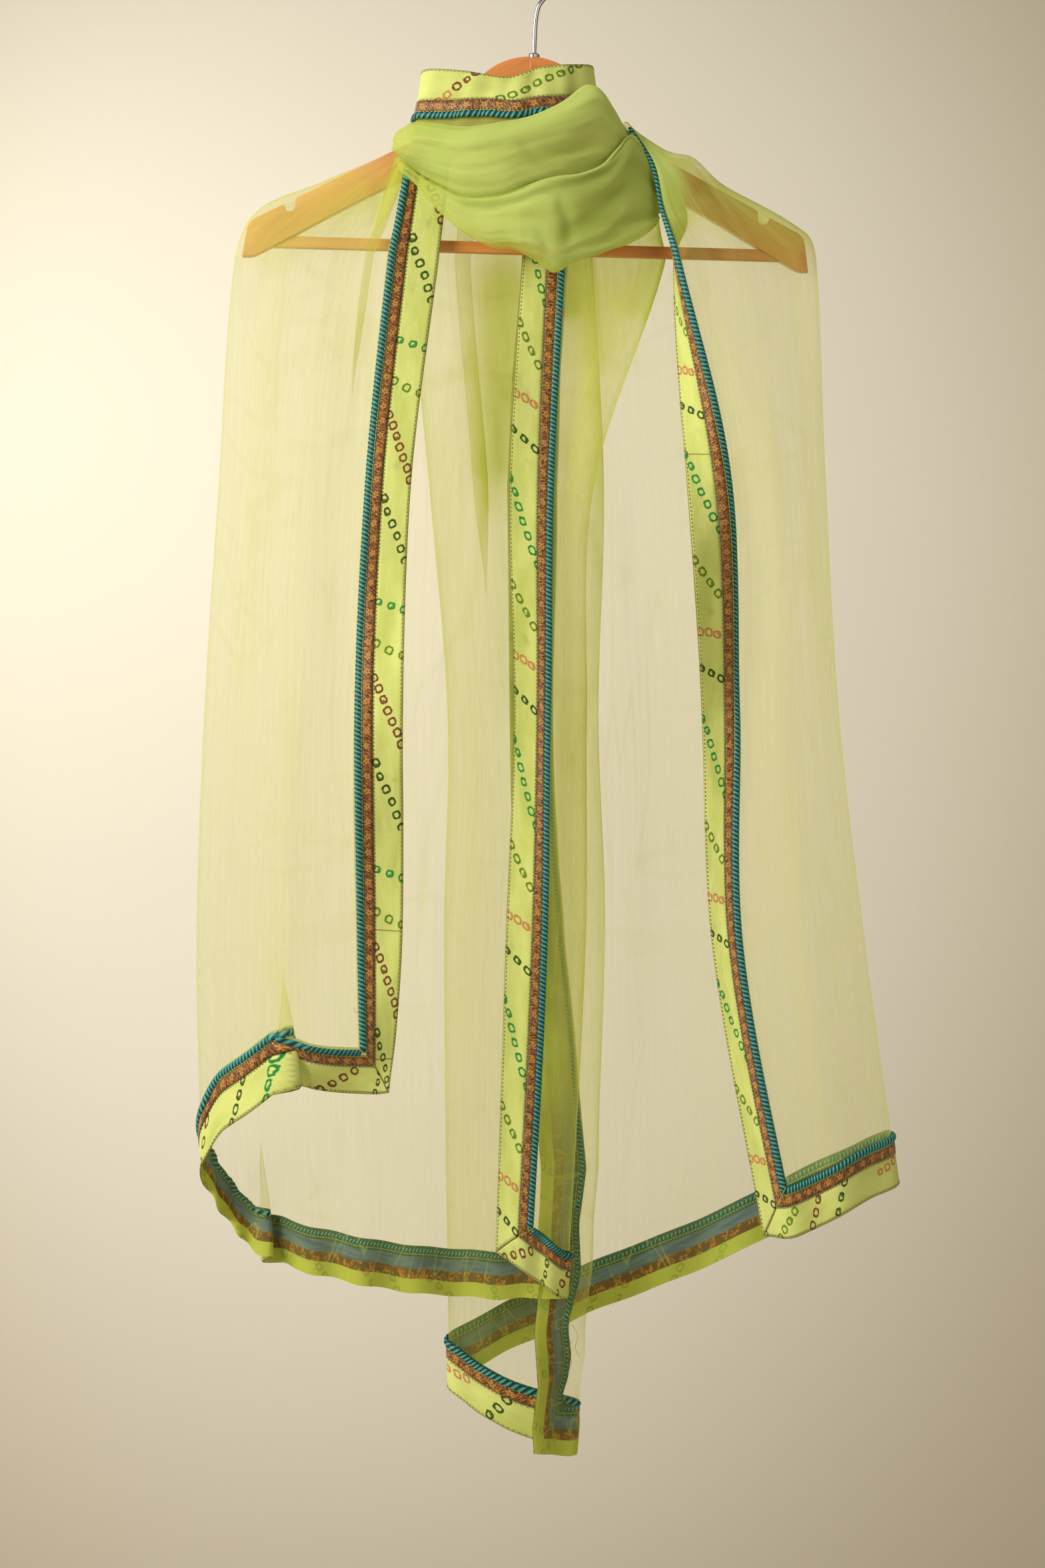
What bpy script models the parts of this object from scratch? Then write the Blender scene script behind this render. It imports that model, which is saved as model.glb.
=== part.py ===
"""A sheer bordered dupatta stole wound round a wooden hanger, in metres, +Z up.

The origin is the inside of the top of the hook, +X is to the right of the front view and +Y is away
from the viewer. The cloth is one rectangle. Each hanging end is a surface lofted through rails, which
are lines that run up the cloth from the hem, and its border strips are made from the panel's own
points, moved out to the face side.
"""
from collections import namedtuple
from math import cos, pi, radians, sin

import bmesh
import bpy
from mathutils import Matrix, Vector

MM = 0.001

# ---- driving dimensions, millimetres ----
CLOTH_WIDTH = 700.0
CLOTH_WALL = 1.0
SEAM_GAP = 0.3
STRIP_GAP = 0.5
STRIP_WALL = 1.0
PRINT_WIDTH = 25.0
RIBBON_WIDTH = 9.0
PIPING_WIDTH = 5.5
BORDER_WIDTH = PRINT_WIDTH + RIBBON_WIDTH + PIPING_WIDTH

LEVELS = {"low": -780.0, "waist": -600.0, "chest": -420.0, "arm": -245.0}

HANGER_ROLL = 1.6
HANGER_THICKNESS = 12.0
HUMP_RADIUS = 53.0
HUMP_TOP = -86.0
HUMP_TURN = 74.0
ARM_SLOPE = 0.53
ARM_TOP_AT_HUMP = -133.5
ARM_START = 52.0
ARM_TIP = 218.0
TIP_RADIUS = 12.0
TIP_TURN = (64.0, 4.0)
ARM_EDGE = 1.2
NOTCH_AT = 185.0
NOTCH_WIDTH = 8.5
NOTCH_DEPTH = 8.0
BAR_HEIGHT = 9.0
BAR_DEPTH = 8.0
BAR_TOP = -231.0
BAR_REACH_TOP = 182.5
BAR_REACH_LOW = 199.0
BAR_EDGE = 0.8
WIRE_RADIUS = 1.8
HOOK_RADIUS = 20.0
FERRULE_RADIUS = 4.6
FERRULE_HEIGHT = 3.0

# The arm between its hump and its notch, and along its underside from the tip to the centre: the place
# out from the centre, and the depth below the line of the arm's top.
ARM_FLARE = ((60.0, 2.3), (74.0, 1.0))
ARM_UNDERSIDE = (
    (221.0, 24.6),
    (211.5, 28.7),
    (130.0, 26.5),
    (70.0, 28.5),
    (34.0, 33.5),
    (14.0, 39.0),
    (0.0, 45.5),
)

# The wire's shank, from the hump up to where the round of the hook starts: x and z.
HOOK_SHANK = ((0.0, -85.0), (0.6, -70.0), (1.6, -55.0), (4.0, -45.0), (9.5, -38.0))

# A rail of a hanging end. width is the place across the cloth from the long edge that makes the collar;
# x is given at the hem and at each level; y at the hem, the waist and the arm. bend and crown are the
# two points where the rail turns over the arm, and top is where it gathers at the neck.
Rail = namedtuple(
    "Rail",
    "name width hem_z x_hem x_low x_waist x_chest x_arm y_hem y_waist y_arm bend crown top",
)

FIRST_END = (
    Rail("edge A", 0, -893, -112, -102, -101, -95, -74, -29, -32, -14, None, None, (-63, -11, -150)),
    Rail("border A", 39.5, -893, -133, -136, -138, -130, -113, -34, -36, -15, None, None, (-97, -11, -163)),
    Rail("front fold", 98, -889, -193, -193, -190, -178, -158, -44, -46, -20, None, None, (-104, -11, -166)),
    Rail("front quarter", 165, -925, -240, -242, -236, -224, -204, -26, -30, -17,
         (-186, -14, -221), (-150, -12, -194), (-110, -11, -168)),
    Rail("front crest", 198, -945, -256, -260, -254, -243, -231, -12, -14, -11,
         (-215, -10, -209), (-168, -9.5, -189), (-117, -10, -164)),
    Rail("left side", 215, -958, -259, -264, -258, -246.5, -233.5, 4, 3, 0,
         (-220, 0, -203), (-170, 0, -180.5), (-121, 0, -157)),
    Rail("back crest", 232, -974, -256, -260, -254, -243, -231.5, 20, 18, 12,
         (-215, 10.5, -208), (-168, 9.5, -189), (-117, 10, -164)),
    Rail("back quarter", 290, -1024, -222, -232, -228, -216, -200, 40, 34, 16,
         (-182, 14, -221), (-146, 13, -196), (-106, 12, -162)),
    Rail("back left", 400, -1050, -135, -138, -138, -130, -112, 28, 26, 15, None, None, (-68, 14, -151)),
    Rail("back centre", 510, -1062, -46, -42, -40, -30, 4, 42, 38, 19, None, None, (18, 16, -160)),
    Rail("fold back", 591, -1062, 20, 35, 36, 41, 97, 35, 32, 17.5, None, None, (88, 14.5, -168)),
    Rail("inner fold", 600, -1061, 26, 41, 42, 47, 103, 30, 28, 14, None, None, (93, 12, -170)),
    Rail("fold front", 609, -1059, 20, 35, 36, 41, 96, 23, 22, 10.5, None, None, (86, 9.8, -172)),
    Rail("border B", 660.5, -1040, -4, 10, 13, 15, 25, 15, 15, 9.5, None, None, (30, 9.5, -178)),
    Rail("edge B", 700, -1022, -30, -22, -15, -19, -9, 18, 17, 9.5, None, None, (2, 9.5, -180)),
)

SECOND_END = (
    Rail("edge C", 0, -1004, 178, 138, 129, 118, 110, -24, -28, -10,
         (120, -11, -216), (116, -11, -192), (106, -11, -170)),
    Rail("border C", 39.5, -1004, 202, 161, 158, 152, 112, -32, -37, -36,
         (101, -28, -208), (92, -22, -176), (82, -20, -150)),
    Rail("front fold", 92, -988, 236, 205, 196, 187, 154, -34, -40, -30,
         (134, -28, -213), (116, -24, -184), (99, -22, -158)),
    Rail("front quarter", 128, -975, 262, 240, 220, 210, 192, -18, -22, -17,
         (174, -15, -222), (142, -14, -192), (112, -14, -166)),
    Rail("front crest", 154, -969, 280, 255, 235, 225, 218, -9, -12, -11,
         (210, -10, -228), (148, -10, -197), (116, -10, -168)),
    Rail("right side", 168, -966, 285, 259.5, 239, 228.5, 220.5, 4, 3, 0,
         (216, 0, -222), (152, 0, -182), (112, 0, -153)),
    Rail("back crest", 182, -967, 281, 256, 236, 226, 218, 17, 16, 11,
         (210, 10, -228), (148, 10, -197), (116, 10, -168)),
    Rail("back quarter", 240, -993, 232, 222, 206, 196, 184, 54, 46, 20,
         (168, 16, -222), (138, 16, -193), (109, 15, -162)),
    Rail("back right", 340, -1043, 135, 130, 122, 112, 98, 76, 64, 36, None, None, (76, 28, -162)),
    Rail("back centre", 440, -1084, 38, 38, 36, 28, 10, 90, 78, 44, None, None, (0, 37.5, -166)),
    Rail("fold back", 539, -1132, -62, -66, -63, -77, -92, 78, 69, 39, None, None, (-73, 28, -152)),
    Rail("outer fold", 548, -1137, -68, -72, -69, -83, -98, 73, 64, 35.5, None, None, (-80, 24, -151)),
    Rail("fold front", 557, -1143, -62, -66, -63, -77, -91, 67, 59, 32, None, None, (-73, 19.5, -154)),
    Rail("centre", 600, -1168, -24, -24, -22, -28, -42, 62, 55, 31, None, None, (-38, 24, -168)),
    Rail("last centre", 634, -1187, 33, 51, 46, 50, 41, 59, 53, 30.5, None, None, (34, 24.5, -170)),
    Rail("last fold", 643, -1190, 39, 57, 52, 56, 47, 54, 48, 27, None, None, (40, 22, -172)),
    Rail("last front", 652, -1190, 34, 51, 46, 50, 41, 48, 43, 23.5, None, None, (34, 19.5, -174)),
    Rail("edge D", 700, -1185, 0, 8, 6, 4, 0, 46, 41, 23, None, None, (-4, 19.5, -178)),
)

# The standing collar, from its left end round the front to its right end: plan x and y, and the
# heights of its upper and lower edges.
Stand = namedtuple("Stand", "x y z_top z_low")
COLLAR = (
    Stand(-82, 13, -100, -142),
    Stand(-91, 2, -98, -142),
    Stand(-84, -11, -96.5, -143),
    Stand(-52, -17, -99.5, -145),
    Stand(-20, -19, -105, -146),
    Stand(4, -18, -97.5, -144),
    Stand(30, -16, -93.5, -141),
    Stand(50, -11, -90.5, -134),
    Stand(60, -1, -92, -132),
    Stand(57, 9, -95, -135),
)

# The turn behind the neck, from the left side to the right shoulder.
NECK_BACK = (
    Stand(-81, 14, -100, -142),
    Stand(-70, 26, -102, -148),
    Stand(-40, 35, -105, -158),
    Stand(0, 38, -108, -164),
    Stand(40, 36, -112, -163),
    Stand(74, 29, -121, -160),
    Stand(93, 16, -133, -157),
    Stand(98, 2, -140, -158),
    Stand(93, -11, -142, -160),
)

NECK_CENTRE = Vector((-8.0, 10.0, 0.0))

# The two swags across the front: the plan of the face, the heights of the crest and hem, and how far
# the cloth stands out from its tuck.
Swag = namedtuple("Swag", "x y z_crest z_edge puff")
SWAG_UPPER = (
    Swag(-106, 18, -146, -158, 6),
    Swag(-119, 6, -143, -155, 6),
    Swag(-121, -8, -142, -158, 7),
    Swag(-113, -24, -141, -171, 13),
    Swag(-92, -40, -142.5, -182, 20),
    Swag(-60, -53, -147, -197, 26),
    Swag(-28, -59, -146.5, -203, 28),
    Swag(0, -58, -139, -196, 27),
    Swag(28, -52, -127, -187, 24),
    Swag(52, -41, -113, -180, 19),
    Swag(66, -30, -119, -166, 12),
    Swag(72, -20, -130, -152, 6),
)
SWAG_LOWER = (
    Swag(-104, -24, -176, -180, 3),
    Swag(-86, -31, -185, -204, 8),
    Swag(-62, -39, -196, -226, 14),
    Swag(-38, -45, -202, -239, 18),
    Swag(-8, -47, -200, -245, 20),
    Swag(20, -46, -191, -259, 20),
    Swag(50, -39, -184, -247, 17),
    Swag(74, -29, -172, -236, 11),
    Swag(88, -18, -168, -224, 5),
)


def blend(knots, values, t):
    """A smooth curve through values at uneven knots, with each tangent from its two neighbours."""
    t = min(max(t, knots[0]), knots[-1])
    last = len(knots) - 1
    i = min(max(k for k in range(last) if knots[k] <= t), last - 1)

    def tangent(k):
        lower = max(k - 1, 0)
        upper = min(k + 1, last)
        return (values[upper] - values[lower]) / (knots[upper] - knots[lower])

    step = knots[i + 1] - knots[i]
    s = (t - knots[i]) / step
    start = (2 * s**3 - 3 * s**2 + 1) * values[i] + (s**3 - 2 * s**2 + s) * step * tangent(i)
    end = (3 * s**2 - 2 * s**3) * values[i + 1] + (s**3 - s**2) * step * tangent(i + 1)
    return start + end


def rail_points(rail):
    """The rail's own points, from the hem up to the gather at the neck."""
    across = [rail.x_low, rail.x_waist, rail.x_chest, rail.x_arm]
    points = [Vector((rail.x_hem, rail.y_hem, rail.hem_z))]
    for z, x in zip(LEVELS.values(), across):
        if z < LEVELS["waist"]:
            share = (z - rail.hem_z) / (LEVELS["waist"] - rail.hem_z)
            y = rail.y_hem + (rail.y_waist - rail.y_hem) * share
        else:
            share = (z - LEVELS["waist"]) / (LEVELS["arm"] - LEVELS["waist"])
            y = rail.y_waist + (rail.y_arm - rail.y_waist) * share
        points.append(Vector((x, y, z)))
    arm = points[-1]
    top = Vector(rail.top)
    points.append(Vector(rail.bend) if rail.bend else arm.lerp(top, 1 / 3))
    points.append(Vector(rail.crown) if rail.crown else arm.lerp(top, 2 / 3))
    points.append(top)
    return points


class End:
    """One hanging end, read by its place across the cloth and its rise.

    The rise is 0 at the hem and 1 at the border's upper edge, and then it counts the rail's points, so
    that 2 is at the low level, 5 at the arm and 8 at the neck. hand is 1 where the face side is on the
    right of the way up, seen from the near long edge, and -1 where it is on the left.
    """

    def __init__(self, rails, hand):
        self.hand = hand
        self.widths = [rail.width for rail in rails]
        self.points = [rail_points(rail) for rail in rails]
        self.knots = []
        for points in self.points:
            knots = [0.0]
            for a, b in zip(points, points[1:]):
                knots.append(knots[-1] + (b - a).length)
            self.knots.append(knots)

    def at(self, width, rise):
        row = []
        for points, knots in zip(self.points, self.knots):
            if rise <= 1.0:
                place = BORDER_WIDTH * rise
            elif rise <= 2.0:
                place = BORDER_WIDTH + (knots[1] - BORDER_WIDTH) * (rise - 1.0)
            else:
                k = min(int(rise) - 1, len(knots) - 2)
                place = knots[k] + (knots[k + 1] - knots[k]) * (rise - 1.0 - k)
            row.append(blend(knots, points, place))
        return blend(self.widths, row, width)

    def facing(self, width, rise):
        """The direction of the cloth's face side, the same on both sides of a seam."""
        step = 1.5
        across = self.at(width + step, rise) - self.at(width - step, rise)
        along = self.at(width, min(rise + 0.1, 8.0)) - self.at(width, max(rise - 0.1, 0.0))
        return across.cross(along).normalized() * self.hand


def normals(grid):
    """The outward direction at each point of a grid of points, from its neighbours."""
    columns = len(grid)
    rows = len(grid[0])
    out = []
    for i in range(columns):
        line = []
        for j in range(rows):
            across = grid[min(i + 1, columns - 1)][j] - grid[max(i - 1, 0)][j]
            along = grid[i][min(j + 1, rows - 1)] - grid[i][max(j - 1, 0)]
            line.append(across.cross(along).normalized())
        out.append(line)
    return out


def sheet(name, grid, directions, inner, outer, material, flip=False):
    """A closed wall between two offsets of a grid of points, in millimetres."""
    columns = len(grid)
    rows = len(grid[0])
    mesh = bmesh.new()
    low = []
    high = []
    for i in range(columns):
        low.append([mesh.verts.new((grid[i][j] + directions[i][j] * inner) * MM) for j in range(rows)])
        high.append([mesh.verts.new((grid[i][j] + directions[i][j] * outer) * MM) for j in range(rows)])

    def quad(a, b, c, d):
        if flip:
            mesh.faces.new((b, c, d))
            mesh.faces.new((b, d, a))
        else:
            mesh.faces.new((a, b, c))
            mesh.faces.new((a, c, d))

    for i in range(columns - 1):
        for j in range(rows - 1):
            quad(high[i][j], high[i + 1][j], high[i + 1][j + 1], high[i][j + 1])
            quad(low[i][j], low[i][j + 1], low[i + 1][j + 1], low[i + 1][j])
    for i in range(columns - 1):
        quad(low[i][0], low[i + 1][0], high[i + 1][0], high[i][0])
        quad(high[i][-1], high[i + 1][-1], low[i + 1][-1], low[i][-1])
    for j in range(rows - 1):
        quad(high[0][j], high[0][j + 1], low[0][j + 1], low[0][j])
        quad(low[-1][j], low[-1][j + 1], high[-1][j + 1], high[-1][j])
    bmesh.ops.recalc_face_normals(mesh, faces=mesh.faces[:])
    return finish(name, mesh, material)


def finish(name, mesh, material):
    data = bpy.data.meshes.new(name)
    mesh.to_mesh(data)
    mesh.free()
    data.materials.append(material)
    piece = bpy.data.objects.new(name, data)
    bpy.context.scene.collection.objects.link(piece)
    return piece


def make_material(name, colour, roughness, metallic=0.0):
    material = bpy.data.materials.new(name)
    material.use_nodes = True
    shader = material.node_tree.nodes["Principled BSDF"]
    shader.inputs["Base Color"].default_value = (*colour, 1.0)
    shader.inputs["Roughness"].default_value = roughness
    shader.inputs["Metallic"].default_value = metallic
    return material


def build_materials():
    return {
        "organza": make_material("organza", (0.52, 0.62, 0.14), 0.55),
        "print": make_material("print", (0.70, 0.78, 0.19), 0.75),
        "ribbon": make_material("ribbon", (0.30, 0.12, 0.04), 0.5),
        "piping": make_material("piping", (0.01, 0.15, 0.18), 0.6),
        "wood": make_material("wood", (0.60, 0.27, 0.10), 0.4),
        "chrome": make_material("chrome", (0.78, 0.78, 0.80), 0.12, 1.0),
    }


# ---- the hanging ends ----
STRIPS = (
    ("print", 0.0, PRINT_WIDTH),
    ("ribbon", PRINT_WIDTH, PRINT_WIDTH + RIBBON_WIDTH),
    ("piping", PRINT_WIDTH + RIBBON_WIDTH, BORDER_WIDTH),
)
STRIP_EDGES = [0.0, PRINT_WIDTH, PRINT_WIDTH + RIBBON_WIDTH, BORDER_WIDTH]
PANEL_RISES = [edge / BORDER_WIDTH for edge in STRIP_EDGES] + [1.5, 2, 3, 3.5, 4, 4.5, 5, 5.5, 6, 7, 8]
STRIP_LOW = CLOTH_WALL / 2 + STRIP_GAP
STRIP_HIGH = STRIP_LOW + STRIP_WALL
MITRE_GAP = 0.5
WIDE_STEP = 42.0


def columns_between(end, start, stop):
    """Places across a panel: the strips' edges at a long edge, each rail, and the middles of wide steps."""
    places = [width for width in end.widths if start <= width <= stop]
    if start == 0.0:
        places = STRIP_EDGES + [width for width in places if width > BORDER_WIDTH]
    if stop == CLOTH_WIDTH:
        near = [CLOTH_WIDTH - edge for edge in reversed(STRIP_EDGES)]
        places = [width for width in places if width < near[0]] + near
    middles = [(a + b) / 2 for a, b in zip(places, places[1:]) if b - a > WIDE_STEP]
    return sorted(places + middles)


class Panel:
    """A stretch of a hanging end between two places across the cloth, as columns of points."""

    def __init__(self, name, end, start, stop):
        self.name = name
        self.end = end
        self.near_edge = start == 0.0
        self.far_edge = stop == CLOTH_WIDTH
        self.places = columns_between(end, start, stop)
        if not self.near_edge:
            self.places[0] += SEAM_GAP / 2
        if not self.far_edge:
            self.places[-1] -= SEAM_GAP / 2
        self.out = [[end.facing(width, rise) for rise in PANEL_RISES] for width in self.places]

    def inset(self, width):
        """How far a place is from the panel's own long edge."""
        return width if self.near_edge else CLOTH_WIDTH - width

    def build_wall(self, material):
        grid = [[self.end.at(width, rise) for rise in PANEL_RISES] for width in self.places]
        half = CLOTH_WALL / 2
        sheet(self.name, grid, self.out, -half, half, material, flip=self.far_edge)

    def build_hem_strip(self, kind, lower, upper, material):
        """A strip along the hem between two heights, mitred at a long edge."""
        row = max(k for k, edge in enumerate(STRIP_EDGES) if edge <= lower)
        bordered = self.near_edge or self.far_edge
        strip = []
        facing = []
        for i, width in enumerate(self.places):
            corner = bordered and self.inset(width) <= STRIP_EDGES[row + 1] + 2 * MITRE_GAP
            if corner and abs(self.inset(width) - STRIP_EDGES[row]) > SEAM_GAP:
                continue
            line = []
            for edge in (lower, upper):
                place = width
                if self.near_edge:
                    place = max(width, edge + MITRE_GAP)
                if self.far_edge:
                    place = min(width, CLOTH_WIDTH - edge - MITRE_GAP)
                line.append(self.end.at(place, edge / BORDER_WIDTH))
            strip.append(line)
            facing.append([self.out[i][row], self.out[i][row + 1]])
        name = f"{self.name}_hem_{kind}"
        sheet(name, strip, facing, STRIP_LOW, STRIP_HIGH, material, flip=self.far_edge)

    def build_edge_strip(self, kind, lower, upper, material):
        """A strip up the long edge between two distances from it, mitred at the hem."""
        sides = [lower, upper] if self.near_edge else [CLOTH_WIDTH - upper, CLOTH_WIDTH - lower]
        above = (upper + 2 * MITRE_GAP) / BORDER_WIDTH
        kept = [k for k, rise in enumerate(PANEL_RISES) if rise > above]
        strip = []
        facing = []
        for width in sides:
            foot = (self.inset(width) + MITRE_GAP) / BORDER_WIDTH
            nearest = min(range(len(self.places)), key=lambda i: abs(self.places[i] - width))
            strip.append([self.end.at(width, foot)] + [self.end.at(width, PANEL_RISES[k]) for k in kept])
            facing.append([self.end.facing(width, foot)] + [self.out[nearest][k] for k in kept])
        name = f"{self.name}_edge_{kind}"
        sheet(name, strip, facing, STRIP_LOW, STRIP_HIGH, material, flip=self.far_edge)


def build_panel(name, end, start, stop, materials):
    """A panel, the strips along its hem and, where it has one, those along its long edge."""
    panel = Panel(name, end, start, stop)
    panel.build_wall(materials["organza"])
    for kind, first, last in STRIPS:
        lower = first + (SEAM_GAP / 2 if first else 0.0)
        upper = last - (SEAM_GAP / 2 if last < BORDER_WIDTH else 0.0)
        panel.build_hem_strip(kind, lower, upper, materials[kind])
        if panel.near_edge or panel.far_edge:
            panel.build_edge_strip(kind, lower, upper, materials[kind])


def build_ends(materials):
    first = End(FIRST_END, -1)
    second = End(SECOND_END, 1)
    left_side = 215.0
    inner_fold = 600.0
    right_side = 168.0
    outer_fold = 548.0
    last_fold = 643.0
    build_panel("front_left_panel", first, 0.0, left_side, materials)
    build_panel("back_left_panel", first, left_side, inner_fold, materials)
    build_panel("centre_flap", first, inner_fold, CLOTH_WIDTH, materials)
    build_panel("front_right_panel", second, 0.0, right_side, materials)
    build_panel("back_right_panel", second, right_side, outer_fold, materials)
    build_panel("centre_panel", second, outer_fold, last_fold, materials)
    build_panel("last_flap", second, last_fold, CLOTH_WIDTH, materials)


# ---- the turns round the neck ----
def stand_grid(table, steps, rows):
    """A standing band: columns along its plan curve and rows from its upper to its lower edge."""
    knots = list(range(len(table)))
    grid = []
    for k in range(steps + 1):
        t = knots[-1] * k / steps
        x, y, z_top, z_low = (blend(knots, [row[c] for row in table], t) for c in range(4))
        grid.append([Vector((x, y, z_low + (z_top - z_low) * (1 - share))) for share in rows])
    return grid


def facing_away(grid):
    """The normals of a grid of points, each turned away from the neck in plan."""
    out = normals(grid)
    for line, directions in zip(grid, out):
        for point, direction in zip(line, directions):
            if direction.xy.dot((point - NECK_CENTRE).xy) < 0:
                direction.negate()
    return out


def build_band(name, table, steps, materials):
    """A standing band with its border strips on the outer side, from the upper edge down."""
    full = max(row.z_top - row.z_low for row in table)
    shares = [min(edge / full, 0.9) for edge in STRIP_EDGES] + [1.0]
    grid = stand_grid(table, steps, shares)
    out = facing_away(grid)
    half = CLOTH_WALL / 2
    sheet(name, grid, out, -half, half, materials["organza"])
    for index, (kind, _, _) in enumerate(STRIPS):
        strip = []
        facing = []
        for i, line in enumerate(grid):
            top = line[index].lerp(line[index + 1], 0.02 if index else 0.0)
            bottom = line[index].lerp(line[index + 1], 0.98)
            strip.append([top, bottom])
            facing.append([out[i][index], out[i][index + 1]])
        sheet(f"{name}_{kind}", strip, facing, STRIP_LOW, STRIP_HIGH, materials[kind])


# A swag's profile, from the tuck behind its crest to the tuck under its edge: the share of the puff
# that a point stands in from the face, and its share of the height.
UPPER_PROFILE = ((1.0, 0.12), (0.55, 0.0), (0.14, 0.13), (0.0, 0.42), (0.08, 0.74), (0.32, 0.95), (0.6, 1.0))
LOWER_PROFILE = ((1.0, 0.05), (0.7, 0.0), (0.3, 0.16), (0.04, 0.45), (0.05, 0.76), (0.36, 0.96), (0.7, 1.0))


def build_swag(name, table, profile, steps, materials):
    knots = list(range(len(table)))
    grid = []
    for k in range(steps + 1):
        t = knots[-1] * k / steps
        x, y, crest, edge, puff = (blend(knots, [row[c] for row in table], t) for c in range(5))
        face = Vector((x, y, 0.0))
        inward = (NECK_CENTRE - face).normalized()
        line = []
        for inset, drop in profile:
            place = face + inward * puff * inset
            line.append(Vector((place.x, place.y, crest + (edge - crest) * drop)))
        grid.append(line)
    half = CLOTH_WALL / 2
    sheet(name, grid, normals(grid), -half, half, materials["organza"])


def build_neck(materials):
    build_band("collar_stand", COLLAR, 16, materials)
    build_band("neck_back", NECK_BACK, 14, materials)
    build_swag("swag_upper", SWAG_UPPER, UPPER_PROFILE, 20, materials)
    build_swag("swag_lower", SWAG_LOWER, LOWER_PROFILE, 16, materials)


# ---- the hanger ----
def arm_top(x):
    return ARM_TOP_AT_HUMP - (x - ARM_START) * ARM_SLOPE


def arm_outline():
    """The right arm's outline in its own plane, x out from the centre and z up."""
    hump = []
    for k in range(9):
        turn = radians(HUMP_TURN * k / 8)
        hump.append((HUMP_RADIUS * sin(turn), HUMP_TOP - HUMP_RADIUS + HUMP_RADIUS * cos(turn)))
    flare = [(x, arm_top(x) - depth) for x, depth in ARM_FLARE]
    floor = arm_top(NOTCH_AT) - NOTCH_DEPTH
    notch = []
    for side in (-1, 1):
        rim = NOTCH_AT + side * NOTCH_WIDTH / 2
        corner = (NOTCH_AT + side * NOTCH_WIDTH / 4, floor)
        wall = [(rim, arm_top(rim)), (rim, floor + NOTCH_WIDTH / 4), corner]
        notch += wall if side < 0 else reversed(wall)
    tip = []
    tip_x = ARM_TIP - TIP_RADIUS
    tip_z = arm_top(tip_x) - TIP_RADIUS - ARM_EDGE
    for k in range(5):
        turn = radians(TIP_TURN[0] + (TIP_TURN[1] - TIP_TURN[0]) * k / 4)
        tip.append((tip_x + TIP_RADIUS * cos(turn), tip_z + TIP_RADIUS * sin(turn)))
    under = [(x, arm_top(x) - depth) for x, depth in ARM_UNDERSIDE]
    return hump + flare + notch + tip + under


def build_arm(name, side, material):
    outline = arm_outline()
    inset = SEAM_GAP / 2
    mesh = bmesh.new()
    front = []
    for x, z in outline:
        front.append(mesh.verts.new((side * max(x, inset) * MM, -HANGER_THICKNESS / 2 * MM, z * MM)))
    face = mesh.faces.new(front)
    bmesh.ops.extrude_face_region(mesh, geom=[face])
    moved = [v for v in mesh.verts if v not in front]
    bmesh.ops.translate(mesh, vec=(0, HANGER_THICKNESS * MM, 0), verts=moved)
    rims = []
    for edge in mesh.edges:
        if abs(edge.verts[0].co.y - edge.verts[1].co.y) < 1e-6:
            if max(abs(v.co.x) for v in edge.verts) > 2 * inset * MM:
                rims.append(edge)
    bmesh.ops.bevel(
        mesh, geom=rims, offset=ARM_EDGE * MM, segments=1, profile=0.5, affect="EDGES", material=-1
    )
    bmesh.ops.rotate(mesh, matrix=Matrix.Rotation(radians(HANGER_ROLL), 3, "Y"), verts=mesh.verts)
    bmesh.ops.triangulate(mesh, faces=mesh.faces[:])
    bmesh.ops.recalc_face_normals(mesh, faces=mesh.faces[:])
    return finish(name, mesh, material)


def build_bar(material):
    """The trouser bar, its ends cut along the arms' undersides."""
    mesh = bmesh.new()
    half = BAR_DEPTH / 2
    corners = (
        (-BAR_REACH_TOP, BAR_TOP),
        (BAR_REACH_TOP, BAR_TOP),
        (BAR_REACH_LOW, BAR_TOP - BAR_HEIGHT),
        (-BAR_REACH_LOW, BAR_TOP - BAR_HEIGHT),
    )
    front = [mesh.verts.new((x * MM, -half * MM, z * MM)) for x, z in corners]
    face = mesh.faces.new(front)
    bmesh.ops.extrude_face_region(mesh, geom=[face])
    moved = [v for v in mesh.verts if v not in front]
    bmesh.ops.translate(mesh, vec=(0, BAR_DEPTH * MM, 0), verts=moved)
    bmesh.ops.bevel(
        mesh, geom=mesh.edges[:], offset=BAR_EDGE * MM, segments=1, profile=0.5, affect="EDGES", material=-1
    )
    bmesh.ops.rotate(mesh, matrix=Matrix.Rotation(radians(HANGER_ROLL), 3, "Y"), verts=mesh.verts)
    bmesh.ops.triangulate(mesh, faces=mesh.faces[:])
    bmesh.ops.recalc_face_normals(mesh, faces=mesh.faces[:])
    return finish("trouser_bar", mesh, material)


def hook_route():
    """The wire's centre line: a leaning shank, then round the top to the open end."""
    centre_z = WIRE_RADIUS - HOOK_RADIUS
    points = list(HOOK_SHANK)
    for k in range(15):
        turn = radians(-32 + 212 * k / 14)
        points.append((HOOK_RADIUS * cos(turn), centre_z + HOOK_RADIUS * sin(turn)))
    points.append((-HOOK_RADIUS + 0.6, centre_z - 8.0))
    return points


def build_hook(material):
    data = bpy.data.curves.new("hook", "CURVE")
    data.dimensions = "3D"
    data.bevel_depth = WIRE_RADIUS * MM
    data.bevel_resolution = 2
    data.use_fill_caps = True
    spline = data.splines.new("POLY")
    route = hook_route()
    spline.points.add(len(route) - 1)
    for point, (x, z) in zip(spline.points, route):
        point.co = (x * MM, 0.0, z * MM, 1.0)
    data.materials.append(material)
    piece = bpy.data.objects.new("hook", data)
    bpy.context.scene.collection.objects.link(piece)


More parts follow.
